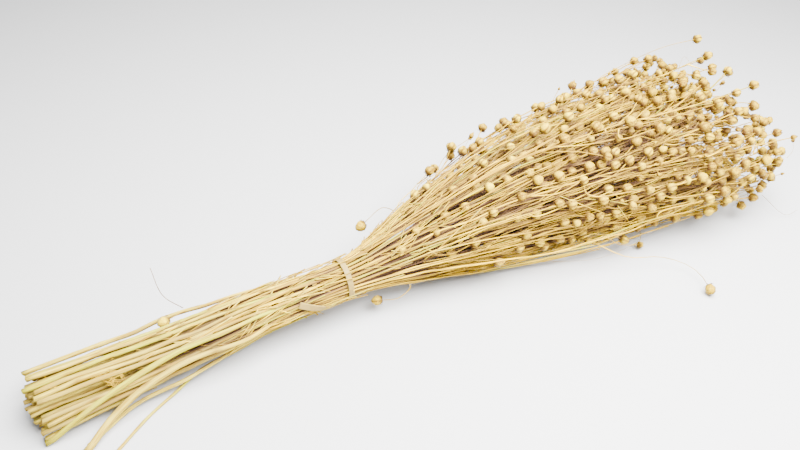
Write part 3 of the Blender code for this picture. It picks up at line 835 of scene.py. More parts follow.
def modelBoll(name, opened):
    # a globe of five lobes with a beak, its stalk end at z = 0. An opened one gapes at the beak
    shape = bollShape
    boll = startModel(name, bpy.ops.mesh.primitive_uv_sphere_add, segments=shape["sides"],
                      ring_count=shape["rings"], radius=1, location=(0, 0, 0))
    smoothAll()
    reshape(boll, lambda co: inGroove(co) and abs(co.z) < 0.95,
            resize=(shape["groove"], shape["groove"], 1))
    reshape(boll, lambda co: co.z > 0.98, translate=(0, 0, shape["openBeak" if opened else "beak"]))
    reshape(boll, lambda co: 0.8 < co.z < 0.98 and math.hypot(co.x, co.y) > 0.1,
            translate=(0, 0, shape["openShoulder" if opened else "shoulder"]))
    if opened:
        reshape(boll, lambda co: co.z > 0.98 and inGroove(co), resize=(shape["gape"], shape["gape"], 1),
                translate=(0, 0, shape["gapeDown"]))
    reshape(boll, lambda co: co.z < -0.98, translate=(0, 0, shape["base"]))
    reshape(boll, lambda co: True, translate=(0, 0, 1))
    enter("OBJECT")
    joinTo(boll, [modelSepal(number * 2 * math.pi / shape["sepals"]) for number in range(shape["sepals"])])
    # the grooves and the beak are marked
    return readModel(boll, lambda co: float(inGroove(Vector(co))
                                            or co[2] > 1 and math.hypot(co[0], co[1]) < 0.05))


def modelSepal(turn):
    # a pointed leaf of the calyx: a flattened three-sided cone that hugs the boll's lower part
    sepal = startModel("sepal", bpy.ops.mesh.primitive_cone_add, vertices=3, radius1=1, radius2=0, depth=1,
                       location=(0, 0, 0))
    reshape(sepal, lambda co: True, resize=bollShape["sepalSize"])
    bpy.ops.transform.rotate(value=bollShape["sepalTilt"], orient_axis="Y", center_override=(0, 0, 0))
    bpy.ops.transform.translate(value=bollShape["sepalPlace"])
    bpy.ops.transform.rotate(value=turn, orient_axis="Z", center_override=(0, 0, 0))
    enter("OBJECT")
    for face in sepal.data.polygons:
        face.material_index = 1
    return sepal


def modelBud(name):
    bud = startModel(name, bpy.ops.mesh.primitive_uv_sphere_add, segments=6, ring_count=5, radius=1,
                     location=(0, 0, 0))
    smoothAll()
    reshape(bud, lambda co: co.z > 0.98, translate=(0, 0, bollShape["budTip"]))
    reshape(bud, lambda co: 0.5 < co.z < 0.98, translate=(0, 0, bollShape["budUp"]),
            resize=(bollShape["budNarrow"], bollShape["budNarrow"], 1))
    reshape(bud, lambda co: True, translate=(0, 0, 1))
    return readModel(bud, lambda co: 0.0)


models = dict(
    straw=modelStraw("straw", 8, 90, strawShape["sink"]),
    twig=modelStraw("twig", 5, 14),
    stalk=modelStraw("stalk", 5, 24),
    hair=modelStraw("hair", 3, 16),
    boll=modelBoll("boll", False),
    openBoll=modelBoll("openBoll", True),
    bud=modelBud("bud"),
)
print("modelled the straw, twig, bolls and bud")


# Laying the models along their routes, into one mesh for each piece

def curveThrough(points, count):
    # a smooth line through the points, as evenly spaced as they allow
    spots = np.array([tuple(p) for p in points])
    chord = np.linalg.norm(np.diff(spots, axis=0), axis=1)
    gone = np.concatenate([[0], np.cumsum(chord)])
    slopes = np.diff(spots, axis=0) / chord[:, None]
    turns = ((slopes[:-1] * chord[1:, None] + slopes[1:] * chord[:-1, None])
             / (chord[:-1] + chord[1:])[:, None])
    ways = np.concatenate([slopes[:1], turns, slopes[-1:]])
    at = np.linspace(0, gone[-1], count)
    i = np.clip(np.searchsorted(gone, at) - 1, 0, len(chord) - 1)
    s, h = ((at - gone[i]) / chord[i])[:, None], chord[i][:, None]
    return ((2 * s**3 - 3 * s**2 + 1) * spots[i] + (s**3 - 2 * s**2 + s) * h * ways[i]
            + (3 * s**2 - 2 * s**3) * spots[i + 1] + (s**3 - s**2) * h * ways[i + 1])


def carryFrame(line, hint):
    # two directions across a line at each of its points, carried along without twist
    along = np.gradient(line, axis=0)
    along /= np.linalg.norm(along, axis=1)[:, None]
    side, first = np.array(hint, float), np.zeros_like(line)
    for i, axis in enumerate(along):
        side = side - axis * side.dot(axis)
        side /= np.linalg.norm(side)
        first[i] = side
    return first, np.cross(along, first)


def between(values, at):
    i = np.clip(at.astype(int), 0, len(values) - 2)
    s = at - i
    return values[i] * (1 - s)[:, None] + values[i + 1] * s[:, None]


# The bake's map, in millimetres
mapRoom = dict(width=190.0, spare=0.4, folds=3)

# Painted shade: how closed in each place is by the bunch, which darkens the straw and bolls there. The straw
# and bolls that stand round it are counted in a grid of cells, and summed up along a few ways out
shadeGrid = dict(cell=0.0014, low=(-0.206, -0.118, -0.008), cells=(400, 160, 84), ballSpots=24, ballReach=0.7,
             ways=14, tilt=0.35, first=0.0006, start=0.0012, step=0.0013, steps=8, dense=1.7,
             behind=0.04, open=0.27, full=0.62)


def fillCells():
    # the width of straw and boll in each cell, for each metre of way through it
    cell, rng = shadeGrid["cell"], np.random.default_rng(bunch["seed"])
    lengths = np.linalg.norm(placed.ends - placed.starts, axis=1)
    isBall = lengths < 1e-5
    counts = np.where(isBall, shadeGrid["ballSpots"], np.ceil(lengths / cell * 2)).astype(int)
    which = np.repeat(np.arange(len(counts)), counts)
    gone = (np.arange(len(which)) - np.repeat(np.cumsum(counts) - counts, counts) + 0.5) / counts[which]
    spots = placed.starts[which] + (placed.ends - placed.starts)[which] * gone[:, None]
    radii = placed.radii[which]
    reach = shadeGrid["ballReach"]
    spots += np.where(isBall[which], radii, 0)[:, None] * rng.uniform(-reach, reach, (len(which), 3))
    area = np.where(isBall[which], math.pi * radii**2, 2 * radii * lengths[which]) / counts[which]
    grid = np.bincount(cellOf(spots), area, np.prod(shadeGrid["cells"])).reshape(shadeGrid["cells"])
    for axis in range(3):
        grid = (np.roll(grid, 1, axis) + 2 * grid + np.roll(grid, -1, axis)) / 4
    return (grid / cell**3).ravel().astype(np.float32)


def cellOf(spots):
    at = ((spots - np.array(shadeGrid["low"])) / shadeGrid["cell"]).astype(int)
    at = np.clip(at, 0, np.array(shadeGrid["cells"]) - 1)
    return (at[:, 0] * shadeGrid["cells"][1] + at[:, 1]) * shadeGrid["cells"][2] + at[:, 2]


filled = fillCells()


def paintedShadeAt(co, normals):
    # the painted shade of a surface: 0 where it lies open, 1 where the bunch closes it in
    light, total = np.zeros(len(co)), np.zeros(len(co))
    for number in range(shadeGrid["ways"]):
        turn = 2 * math.pi * (number + 0.5) / shadeGrid["ways"]
        way = np.array((shadeGrid["tilt"] * (-1) ** number, math.cos(turn), math.sin(turn)))
        way /= np.linalg.norm(way)
        through = np.zeros(len(co))
        for step in range(shadeGrid["steps"]):
            gone = shadeGrid["start"] + shadeGrid["step"] * step
            through += filled[cellOf(co + normals * shadeGrid["first"] + way * gone)] * shadeGrid["dense"]
        facing = np.maximum(normals @ way, 0) + shadeGrid["behind"]
        light += facing * np.exp(-through * shadeGrid["step"])
        total += facing
    return np.clip((1 - light / total - shadeGrid["open"]) / (shadeGrid["full"] - shadeGrid["open"]), 0, 1)


class Gathered:
    # the arrays of one piece
    def __init__(self):
        self.parts = {key: [] for key in "co loops sizes uv smooth slot tint rise mark bare grain".split()}
        self.count, self.x, self.y, self.tallest = 0, 0.0, 0.0, 0.0

    def mapPlace(self, width, height):
        if self.x + width > mapRoom["width"]:
            self.x, self.y, self.tallest = 0.0, self.y + self.tallest, 0.0
        spot = self.x, self.y
        self.x += width + mapRoom["spare"]
        self.tallest = max(self.tallest, height + mapRoom["spare"])
        return spot

    def add(self, model, co, room, folds, slots, **marks):
        # room is the piece's width and height on the map, in folds rows
        parts, sizes = self.parts, model["sizes"]
        width, height = room[0] / folds, room[1]
        x, y = self.mapPlace(width, (height + mapRoom["spare"]) * folds)
        along, around = model["uv"].T
        starts = np.concatenate([[0], np.cumsum(sizes)[:-1]])
        middle = np.repeat(np.add.reduceat(along, starts) / sizes, sizes)
        row = np.clip(np.floor(middle * folds), 0, folds - 1)
        parts["uv"].append(np.stack([x + (along * folds - row) * width,
                                     y + row * (height + mapRoom["spare"]) + around * height], axis=1))
        parts["co"].append(co)
        parts["loops"].append(model["loops"] + self.count)
        parts["sizes"].append(sizes)
        parts["smooth"].append(model["smooth"])
        parts["slot"].append(np.array(slots)[model["slot"]])
        marks.setdefault("bare", 0.0)
        for key, value in marks.items():
            full = np.zeros((len(co), 3)) if key == "grain" else np.zeros(len(co))
            parts[key].append(full + value)
        self.count += len(co)

    def make(self, name, materials):
        mesh = bpy.data.meshes.new(name)
        data = {key: np.concatenate(value) for key, value in self.parts.items()}
        co = data["co"] - np.array(bunch["middle"])
        mesh.vertices.add(len(co))
        mesh.vertices.foreach_set("co", co.ravel())
        mesh.loops.add(len(data["loops"]))
        mesh.loops.foreach_set("vertex_index", data["loops"])
        mesh.polygons.add(len(data["sizes"]))
        mesh.polygons.foreach_set("loop_start", np.concatenate([[0], np.cumsum(data["sizes"])[:-1]]))
        mesh.polygons.foreach_set("use_smooth", data["smooth"])
        mesh.polygons.foreach_set("material_index", data["slot"])
        mesh.update(calc_edges=True)
        # bare bolls show less of the shade inside
        normals = np.zeros(len(co) * 3, np.float32)
        mesh.vertex_normals.foreach_get("vector", normals)
        data["deep"] = paintedShadeAt(data["co"], normals.reshape(-1, 3)) * (1 - data["bare"])
        size = np.array([mapRoom["width"] + mapRoom["spare"] * 2, self.y + self.tallest + mapRoom["spare"]])
        mesh.uv_layers.new(name="OFBake").data.foreach_set("uv", (data["uv"] / size).ravel())
        for key in ("tint", "rise", "mark", "deep", "grain"):
            kind, value = ("FLOAT_VECTOR", "vector") if key == "grain" else ("FLOAT", "value")
            mesh.attributes.new(key, kind, "POINT").data.foreach_set(value, data[key].ravel())
        for material in materials:
            mesh.materials.append(material)
        piece = bpy.data.objects.new(name, mesh)
        bpy.context.scene.collection.objects.link(piece)
        return piece


def layStraw(gathered, model, line, radii, hint, rng, tint, folds=1, mark=0.0, slope=0.0, start=0.0,
             end=1.0):
    # bends a straw or twig along a line. radii has one value for each point of the line, start and
    # end are how ripe its ends look
    first, second = carryFrame(line, hint)
    co = model["co"]
    at = co[:, 2] * (len(line) - 1)
    wide = between(radii[:, None], at)
    side, over = between(first, at), between(second, at)
    length = np.linalg.norm(np.diff(line, axis=0), axis=1).sum()
    placedCo = between(line, at) + (side * co[:, :1] + over * co[:, 1:2]) * wide
    # the cut may run aslant
    nearCut = np.clip(1 - co[:, 2] * length / 0.003, 0, 1)
    placedCo += (line[1] - line[0]) / np.linalg.norm(line[1] - line[0]) * (
        slope * radii[0] * co[:, 0] * nearCut)[:, None]
    grain = np.concatenate([co[:, :2] * wide * 1000, co[:, 2:] * length * 1000], axis=1) + anyGrain(rng)
    gathered.add(model, placedCo, (length * 1000, radii.mean() * 2000 * math.pi), folds, [0], tint=tint,
                 rise=start + (end - start) * co[:, 2], mark=np.maximum(model["mark"], mark), grain=grain)


def anyGrain(rng):
    return np.array([rng.uniform(0, 90) for _ in range(3)])


def endOf(line):
    # where a stalk ends, and the way it points there
    return line[-1], line[-1] - line[-3]


def layBoll(gathered, model, base, way, radius, rng, tint, slots, squash=1.0, bare=bollShape["bare"]):
    # stands a boll on the end of its stalk
    way = Vector(way).normalized()
    turn = Vector((0, 0, 1)).rotation_difference(way) @ Quaternion((0, 0, 1), rng.uniform(0, 2 * math.pi))
    size = Vector((radius * squash, radius * squash, radius))
    placedCo = (model["co"] * np.array(size)) @ np.array(turn.to_matrix()).T + np.array(base)
    gathered.add(model, placedCo, (radius * 3300, radius * 6300), 1, slots, tint=tint, bare=bare,
                 rise=model["co"][:, 2] / 2, mark=model["mark"],
                 grain=model["co"] * radius * 1000 + anyGrain(rng))


# Finishes

def tone(red, green, blue):
    # a colour given as a screen shows it, 0 to 255, as the shader wants it
    return [((c / 255 + 0.055) / 1.055) ** 2.4 if c > 10 else c / 255 / 12.92
            for c in (red, green, blue)] + [1.0]


def tones(**colours):
    return {name: tone(*colour) for name, colour in colours.items()}


class Wire:
    # a shader socket that sums can be written with
    def __init__(self, finish, socket):
        self.finish, self.socket = finish, socket

    def sum(self, operation, *values):
        return self.finish.node("ShaderNodeMath", dict(operation=operation), dict(enumerate(values)))

    def __add__(self, other):
        return self.sum("ADD", self, other)

    def __sub__(self, other):
        return self.sum("SUBTRACT", self, other)

    def __rsub__(self, other):
        return self.sum("SUBTRACT", other, self)

    def __mul__(self, other):
        return self.sum("MULTIPLY", self, other)

    def __pow__(self, other):
        return self.sum("POWER", self, other)

    __radd__, __rmul__ = __add__, __mul__

    def ramp(self, low, high, most=1.0):
        # 0 below low and most above high, or the other way round
        return self.finish.node("ShaderNodeMapRange", dict(clamp=True), {0: self, 1: low, 2: high, 4: most})


class Finish:
    # one material and its nodes
    def __init__(self, name, **constants):
        self.material = bpy.data.materials.new(name)
        self.material.use_nodes = True
        self.tree = self.material.node_tree
        self.shader = self.tree.nodes["Principled BSDF"]
        for socket, value in constants.items():
            self.shader.inputs[socket.replace("_", " ")].default_value = value

    def node(self, kind, settings, sockets, output=0):
        made = self.tree.nodes.new(kind)
        for key, value in settings.items():
            if key == "stops":
                while len(made.color_ramp.elements) < len(value):
                    made.color_ramp.elements.new(0.5)
                for stop, (at, colour) in zip(made.color_ramp.elements, value):
                    stop.position, stop.color = at, colour
            else:
                setattr(made, key, value)
        for key, value in sockets.items():
            if isinstance(value, Wire):
                self.tree.links.new(value.socket, made.inputs[key])
            else:
                made.inputs[key].default_value = value
        return Wire(self, made.outputs[output])

    def attributes(self, names):
        return [self.node("ShaderNodeAttribute", dict(attribute_name=name), {},
                          "Vector" if name == "grain" else "Fac") for name in names.split()]

    def colours(self, wire, look, stops):
        stops = [(at, look["tones"][name]) for at, name in look[stops]]
        return self.node("ShaderNodeValToRGB", dict(stops=stops), {0: wire})

    def mix(self, share, first, second):
        return self.node("ShaderNodeMix", dict(data_type="RGBA"), {0: share, 6: first, 7: second}, 2)

    def overlay(self, colour, look, **shares):
        # lays tones of the look over a colour, each by its share
        for name, share in shares.items():
            colour = self.mix(share, colour, look["tones"][name])
        return colour

    def noise(self, vector, scale, detail, stretch=(1, 1, 1)):
        spot = self.node("ShaderNodeVectorMath", dict(operation="MULTIPLY"), {0: vector, 1: stretch})
        return self.node("ShaderNodeTexNoise", {}, {"Vector": spot, "Scale": scale, "Detail": detail})

    def bump(self, height, strength, distance):
        return self.node("ShaderNodeBump", {}, {"Strength": strength, "Distance": distance, "Height": height})

    def drive(self, **links):
        for socket, wire in links.items():
            self.tree.links.new(wire.socket, self.shader.inputs[socket.replace("_", " ")])
        return self.material


# Each tone goes with its place on the ramps below. The At values are where a tone begins, where it is
# full, and how much of it there is then
# inner is the tone of painted shade, laid on where the bunch closes a place in
strawLook = dict(
    tones=tones(green=(164, 160, 36), cream=(252, 207, 14), straw=(222, 180, 14), gold=(177, 141, 18),
                tan=(139, 107, 26), hair=(108, 76, 26), scar=(92, 62, 26), streak=(144, 111, 20),
                paleCream=(196, 175, 62), paleStraw=(166, 146, 58), paleTan=(134, 113, 54),
                ripe=(147, 113, 18), inner=(88, 63, 48)),
    upper=((0.0, "green"), (0.14, "straw"), (0.40, "cream"), (0.60, "straw"), (0.80, "gold"), (0.95, "tan")),
    butt=((0.0, "green"), (0.20, "paleStraw"), (0.50, "paleCream"), (0.80, "paleStraw"), (1.0, "paleTan")),
    patches=0.75, upperAt=(0.20, 0.42), ripeAt=(0.48, 0.80, 0.60), streakAt=(0.49, 0.60, 0.85),
    hairAt=(0.58, 0.70, 0.5), scarShare=0.8, buttShadeShare=0.30, headShadeAt=(0.05, 0.24, 0.67),
)
bollLook = dict(
    tones=tones(pale=(208, 182, 28), cream=(180, 148, 16), gold=(148, 115, 12), brown=(108, 76, 18),
                seam=(98, 62, 22), bleached=(244, 219, 48), foot=(62, 38, 20), inner=(94, 66, 44)),
    skin=((0.0, "pale"), (0.30, "cream"), (0.70, "gold"), (1.0, "brown")),
    # the foot tone is the dark calyx base, spread up over the boll's lower part as painted shade
    mottling=1.1, seamAt=(0.40, 0.90, 0.95), bleachedAt=(0.54, 0.66, 0.6), footShadeAt=(0.46, 0.12, 0.9),
    innerShadeShare=0.92,
)
calyxLook = dict(dark=tone(92, 58, 14), light=tone(160, 120, 40), lightAt=(0.4, 0.62))


def strawFinish(name):
    look = strawLook
    finish = Finish(name, Roughness=0.5, Specular_IOR_Level=0.04)
    tint, rise, mark, deep, grain = finish.attributes("tint rise mark deep grain")
    patches = finish.noise(grain, 1.0, 2.0, (0.05, 0.05, 0.035))
    streaks = finish.noise(grain, 1.0, 3.0, (2.0, 2.0, 0.06))
    hair = finish.noise(grain, 1.0, 2.0, (6.0, 6.0, 0.16))
    place = tint + (patches - 0.5) * look["patches"]
    colour = finish.mix(rise.ramp(*look["upperAt"]), finish.colours(place, look, "butt"),
                        finish.colours(place, look, "upper"))
    # painted shade in the inner tone where the bunch closes a place in, weaker at the cut ends than in the
    # head
    colour = finish.overlay(
        colour, look, ripe=rise.ramp(*look["ripeAt"]), streak=streaks.ramp(*look["streakAt"]),
        hair=hair.ramp(*look["hairAt"]), scar=mark * look["scarShare"],
        inner=deep * (look["buttShadeShare"] + rise.ramp(*look["headShadeAt"])))
    return finish.drive(Base_Color=colour, Roughness=0.42 + streaks * 0.22 + mark * 0.2,
                        Normal=finish.bump(streaks * 0.6 + hair * 0.4, 0.7, 0.0003))


def bollFinish(name):
    look = bollLook
    finish = Finish(name, Roughness=0.45, Specular_IOR_Level=0.16, Specular_Tint=tone(255, 226, 120))
    tint, rise, mark, deep, grain = finish.attributes("tint rise mark deep grain")
    mottle, fine = finish.noise(grain, 0.55, 3.0), finish.noise(grain, 2.6, 2.0)
    colour = finish.colours(tint + (mottle - 0.5) * look["mottling"], look, "skin")
    # inner lays painted shade on the boll where the bunch closes it in
    colour = finish.overlay(
        colour, look, seam=mark.ramp(*look["seamAt"]), bleached=fine.ramp(*look["bleachedAt"]),
        foot=rise.ramp(*look["footShadeAt"]), inner=deep * look["innerShadeShare"])
    height = mottle * 0.5 + fine * 0.3 - mark**3.0 * 0.8
    return finish.drive(Base_Color=colour, Roughness=0.24 + mottle * 0.25,
                        Normal=finish.bump(height, 0.8, 0.0005))


def calyxFinish(name):
    finish = Finish(name, Roughness=0.7)
    spots = finish.noise(*finish.attributes("grain"), 1.4, 2.0)
    colour = finish.mix(spots.ramp(*calyxLook["lightAt"]), calyxLook["dark"], calyxLook["light"])
    return finish.drive(Base_Color=colour, Normal=finish.bump(spots, 0.5, 0.0003))


finishes = [strawFinish("driedStraw"), bollFinish("seedBoll"), calyxFinish("calyx")]


# Stems, each with its twigs and bolls, in groups by the side of the bunch that they lie on

stemLook = dict(
    points=91, sway={"head": 0.0008, "butt": 0.0002}, swayRates=(60, 150), swayShare=0.6, calmRoom=0.05,
    calmEnd=9, kinkEvery=(3, 8),
    kinks={"head": 0.0006, "butt": {5: 0.0011, 4: 0.0008, 3: 0.0006}, "heart": 0.0003},
    # by ring, how far the tint leans to the darker end of the ramp: painted shade inside the bunch
    innerShadeTint={5: 0.0, 4: 0.10, 3: 0.45, 2: 0.6, 1: 0.6, 0: 0.6}, greenStem=(5, 12),
    thickAt=(-0.190, -0.120, -0.050, 0.0, 0.05, 0.12, 0.20, 0.34),
    thick={"outer": (1.42, 1.34, 1.12, 1.0, 0.74, 0.62, 0.60, 0.74),
           "inner": (1.22, 1.16, 1.06, 1.0, 0.72, 0.60, 0.58, 0.74)},
    spread=0.0008, spreadFrom=-0.03, spreadOver=0.1,
    hanging=((5, 13), (5, 14), (5, 16), (5, 17), (4, 11), (4, 12), (4, 13)), hangFrom=-0.04, hangOver=0.14,
    hang=(0.0045, 0.0030),
    cutShift=(-3, 7), cutLine=((372, 18), (390, 21), (410, 25), (425, 33), (445, 44)), trimmedStray=(5, 3),
    scarEvery=(3, 7), scarSwell=0.16, scarMark=0.8, openShare=0.18, squash=(0.95, 1.06), bollShare=0.93,
    budTip=(5, 10), budRadius=0.0019, tipBudTint=0.8, budTint=(0.6, 1.0), budThick=0.6,
    twigPoints=15, stalkPoints=25, twigThick=1.5, stalkThick=(0.75, 1.1), flare=1.25, twigTint=(-0.3, 0.4),
    twigRise=0.35,
)


def kinked(rng, count, size):
    # straight runs between nodes, where the stem turns a little
    at, offsets = [0], [rng.uniform(-size, size)]
    while at[-1] < count:
        at.append(at[-1] + rng.randint(*stemLook["kinkEvery"]))
        offsets.append(rng.uniform(-size, size))
    return np.interp(np.arange(count), at, offsets)


def shapeStem(stem, rng, count):
    # the stem's line and its radius at each point
    look, key = stemLook, (stem.ring, stem.index)
    shift = rng.uniform(*look["cutShift"])
    line = curveThrough(stem.points, count)
    x = line[:, 0].copy()
    thick = np.interp(x, look["thickAt"], look["thick"]["outer" if stem.ring > 3 else "inner"])
    radii = np.array([stem.radiusAt(v) for v in x]) * thick
    room = (np.clip(np.abs(x) / look["calmRoom"], 0, 1)
            * np.minimum(1, (count - 1 - np.arange(count)) / look["calmEnd"]))
    sway = np.where(x > 0, look["sway"]["head"], look["sway"]["butt"])
    kinks = look["kinks"]
    kinks = np.where(x > 0, kinks["head"], kinks["butt"].get(stem.ring, kinks["heart"]))
    for axis in (1, 2):
        for share in (1.0, 0.5):
            rate, start = rng.uniform(*look["swayRates"]) / share, rng.uniform(0, 2 * math.pi)
            line[:, axis] += sway * room * share * np.sin(rate * x + start) * look["swayShare"]
        line[:, axis] += kinks * room * kinked(rng, count, 1.0)
    # the lowest ones on the near side hang a little at their cut ends
    if key in look["hanging"]:
        share = np.clip((look["hangFrom"] - x) / look["hangOver"], 0, 1) ** 2
        line[:, 1] -= look["hang"][0] * share
        line[:, 2] -= look["hang"][1] * share
    # thicker cut ends need a little more room
    away = line - np.stack([x, 0 * x, np.array([axisHeight(v) for v in x])], axis=1)
    away[:, 0] = 0
    share = np.clip((look["spreadFrom"] - x) / look["spreadOver"], 0, 1)[:, None]
    share = share * stem.ring / bunch["outerRing"]
    line += away / np.maximum(np.linalg.norm(away, axis=1), 1e-6)[:, None] * look["spread"] * share
    line[:, 2] = np.maximum(line[:, 2], radii)
    if key in strayButts and key != look["trimmedStray"]:
        return line, radii
    shift *= key not in strayButts
    # the cut runs slanting across the bunch as the camera sees it
    skip = 0
    while skip < count // 3:
        px, py = seenAt(line[skip])
        if px >= np.interp(py, *zip(*look["cutLine"])) + shift:
            break
        skip += 1
    at = np.linspace(skip, count - 1, count)
    return between(line, at), between(radii[:, None], at)[:, 0]


def dressStem(gathered, stem):
    rng = random.Random(bunch["seed"] * 31 + stem.ring * 100 + stem.index)
    look, key, depth = stemLook, (stem.ring, stem.index), stemLook["innerShadeTint"][stem.ring]
    # stems of the inner rings lean to darker tints, as painted shade inside the bunch
    tint = 0.0 if key == look["greenStem"] else depth + (1 - depth) * rng.random()
    count = look["points"]
    line, radii = shapeStem(stem, rng, count)
    co = models["straw"]["co"]
    mark = np.zeros(len(co))
    at = rng.randint(*look["scarEvery"])
    while at < count - 4:
        # a scar on one side of the stem, where it swells a little
        turn = rng.uniform(0, 2 * math.pi)
        onRing = np.abs(co[:, 2] * (count - 1) - at) < 0.6
        mark[onRing] = np.clip(np.cos(np.arctan2(co[onRing, 1], co[onRing, 0]) - turn) * 2 - 1, 0, 1)
        radii[at] *= 1 + look["scarSwell"] * rng.random()
        at += rng.randint(*look["scarEvery"])
    layStraw(gathered, models["straw"], line, radii, (0, 0, 1), rng, tint, folds=mapRoom["folds"],
             mark=mark * look["scarMark"], slope=stem.cutSlope)
    if key == look["budTip"]:
        layBoll(gathered, models["bud"], *endOf(line), look["budRadius"], rng, look["tipBudTint"], [1])
    else:
        dressBoll(gathered, line, stem.boll, rng, tint)
    lines = [line]
    for twig in stem.branches + stem.stalks + stem.forks:
        twigLine = dressTwig(gathered, rng, twig, lines, tint)
        if "isBud" not in twig:
            lines.append(twigLine)


def dressTwig(gathered, rng, twig, lines, tint):
    # a side branch, long stalk or fork, which leaves from the nearest of the lines
    look, isFork, isBranch = stemLook, "isBud" in twig, "leaves" in twig
    isStalk = not isFork and not isBranch
    count = look["stalkPoints" if isStalk else "twigPoints"]
    route = [np.array(p) for p in twig["points"]]
    near = np.concatenate(lines)
    first = near[np.argmin(np.linalg.norm(near - route[0], axis=1))]
    line = curveThrough([first, *route] if isBranch else [first, *route[1:]], count)
    line[:, 2] = np.maximum(line[:, 2], forks["radius"])
    if isStalk:
        thick = np.linspace(stalks["radius"], stalks["tipRadius"], count) * rng.uniform(*look["stalkThick"])
    else:
        thin = forks["radius"] if isFork else twig.get("radius", branch["radius"])
        thick = thin * (1 + (look["twigThick"] - 1) * np.linspace(1, 0, count) ** 2)
    if twig.get("isBud"):
        thick = thick * look["budThick"]
    thick[-2:] *= look["flare"]
    layStraw(gathered, models["stalk" if isStalk else "twig"], line, thick, (0.1, 0.2, 1), rng,
             min(max(tint + rng.uniform(*look["twigTint"]), 0), 1), start=look["twigRise"])
    if twig.get("isBud"):
        layBoll(gathered, models["bud"], *endOf(line), twig["boll"], rng, rng.uniform(*look["budTint"]), [1])
    else:
        dressBoll(gathered, line, twig["boll"], rng, tint, 1.0 if "radius" in twig else bollShape["bare"])
    return line


def dressBoll(gathered, line, radius, rng, stemTint, bare=bollShape["bare"]):
    model = models["openBoll" if rng.random() < stemLook["openShare"] else "boll"]
    base, way = endOf(line)
    way = way / np.linalg.norm(way)
    radius = radius * stemLook["bollShare"]
    layBoll(gathered, model, base - way * radius * bollShape["base"], way, radius, rng,
            0.25 * stemTint + 0.75 * rng.random(), [1, 2], rng.uniform(*stemLook["squash"]), bare)


def makePiece(gathered, name, nodes=()):
    piece = gathered.make(name, finishes)
    print(name, sum(len(f.vertices) - 2 for f in piece.data.polygons), "triangles")
    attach(piece, "root")
    if nodes:
        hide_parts(*nodes)


def makeStems(name, group, nodes=()):
    gathered = Gathered()
    for stem in group:
        dressStem(gathered, stem)
    makePiece(gathered, name, nodes)


# How many stems each side has, in the order of the solids
sides = dict(farSide=5, farCrown=5, nearCrown=5, nearSide=5, underside=5, farFoot=5,
             innerFar=6, innerTop=6, innerNear=6, innerFoot=6)
first = 0
for side, number in sides.items():
    chosen = range(first, first + number)
    makeStems(side + "Stems", [stems[i] for i in chosen], [f"stem_{i + 1:02d}" for i in chosen])
    first += number
makeStems("heartStems", [s for s in innerStems if s.ring < 3])
makeStems("heartFarStems", [s for s in innerStems if s.ring == 3 and s.index < 9])
makeStems("heartNearStems", [s for s in innerStems if s.ring == 3 and s.index >= 9])
print("dressed the stems")


# Hair-thin stalks that run with the stems all over the head, each up to the first boll in its way
fine = dict(
    count=1700, starts=(0.045, 0.235), length=(0.030, 0.110), share=(0.86, 1.04), drift=0.10, turn=0.24,
    wave=0.0011, radius=(0.00020, 0.00034), narrowing=0.6, points=16, clear=0.0002, shortest=0.014,
    furthest=0.315, rise=0.5, paleShare=0.5, paleRise=0.52,
)


def fineRoute(draw):
    start, length, share, angle = (draw(*fine["starts"]), draw(*fine["length"]), draw(*fine["share"]),
                                   draw(0, 2 * math.pi))
    end, toShare, turn = (min(start + length, fine["furthest"]), draw(-1, 1) * fine["drift"],
                          draw(-1, 1) * fine["turn"])
    spots = []
    for gone in (0.0, 0.25, 0.5, 0.75, 1.0):
        spot = sectionPoint(start + (end - start) * gone, min(share + toShare * gone, fine["share"][1]),
                            angle + turn * gone)
        spots.append(spot + Vector((0, draw(-1, 1), draw(-1, 1))) * fine["wave"])
    return curveThrough(spots, fine["points"])


def makeFineStalks():
    gathered, rng = Gathered(), random.Random(bunch["seed"] * 13)
    centres = KDTree(len(balls.radii))
    for number, centre in enumerate(balls.starts):
        centres.insert(centre, number)
    centres.balance()
    for _ in range(fine["count"]):
        line, tint, radius = fineRoute(rng.uniform), rng.random(), rng.uniform(*fine["radius"])
        room = [near[2] - balls.radii[near[1]] for near in map(centres.find, line)]
        isClear = [gap > fine["clear"] and not beyondHead(Vector(spot), 0) for gap, spot in zip(room, line)]
        # it ends where its way is first blocked
        kept = isClear.index(False) if False in isClear else len(line)
        if kept < 3 or np.linalg.norm(line[kept - 1] - line[0]) < fine["shortest"]:
            continue
        line = curveThrough(line[:kept], fine["points"])
        line[:, 2] = np.maximum(line[:, 2], radius)
        thick = np.linspace(radius, radius * fine["narrowing"], fine["points"])
        layStraw(gathered, models["hair"], line, thick, (0.1, 0.2, 1), rng, tint, start=fine["rise"],
                 end=fine["paleRise"] if rng.random() < fine["paleShare"] else 1.0)
    makePiece(gathered, "fineStalks")


makeFineStalks()


# Loose bits: hair-thin stalks, slivers, broken twigs and torn fibres, placed by where they show

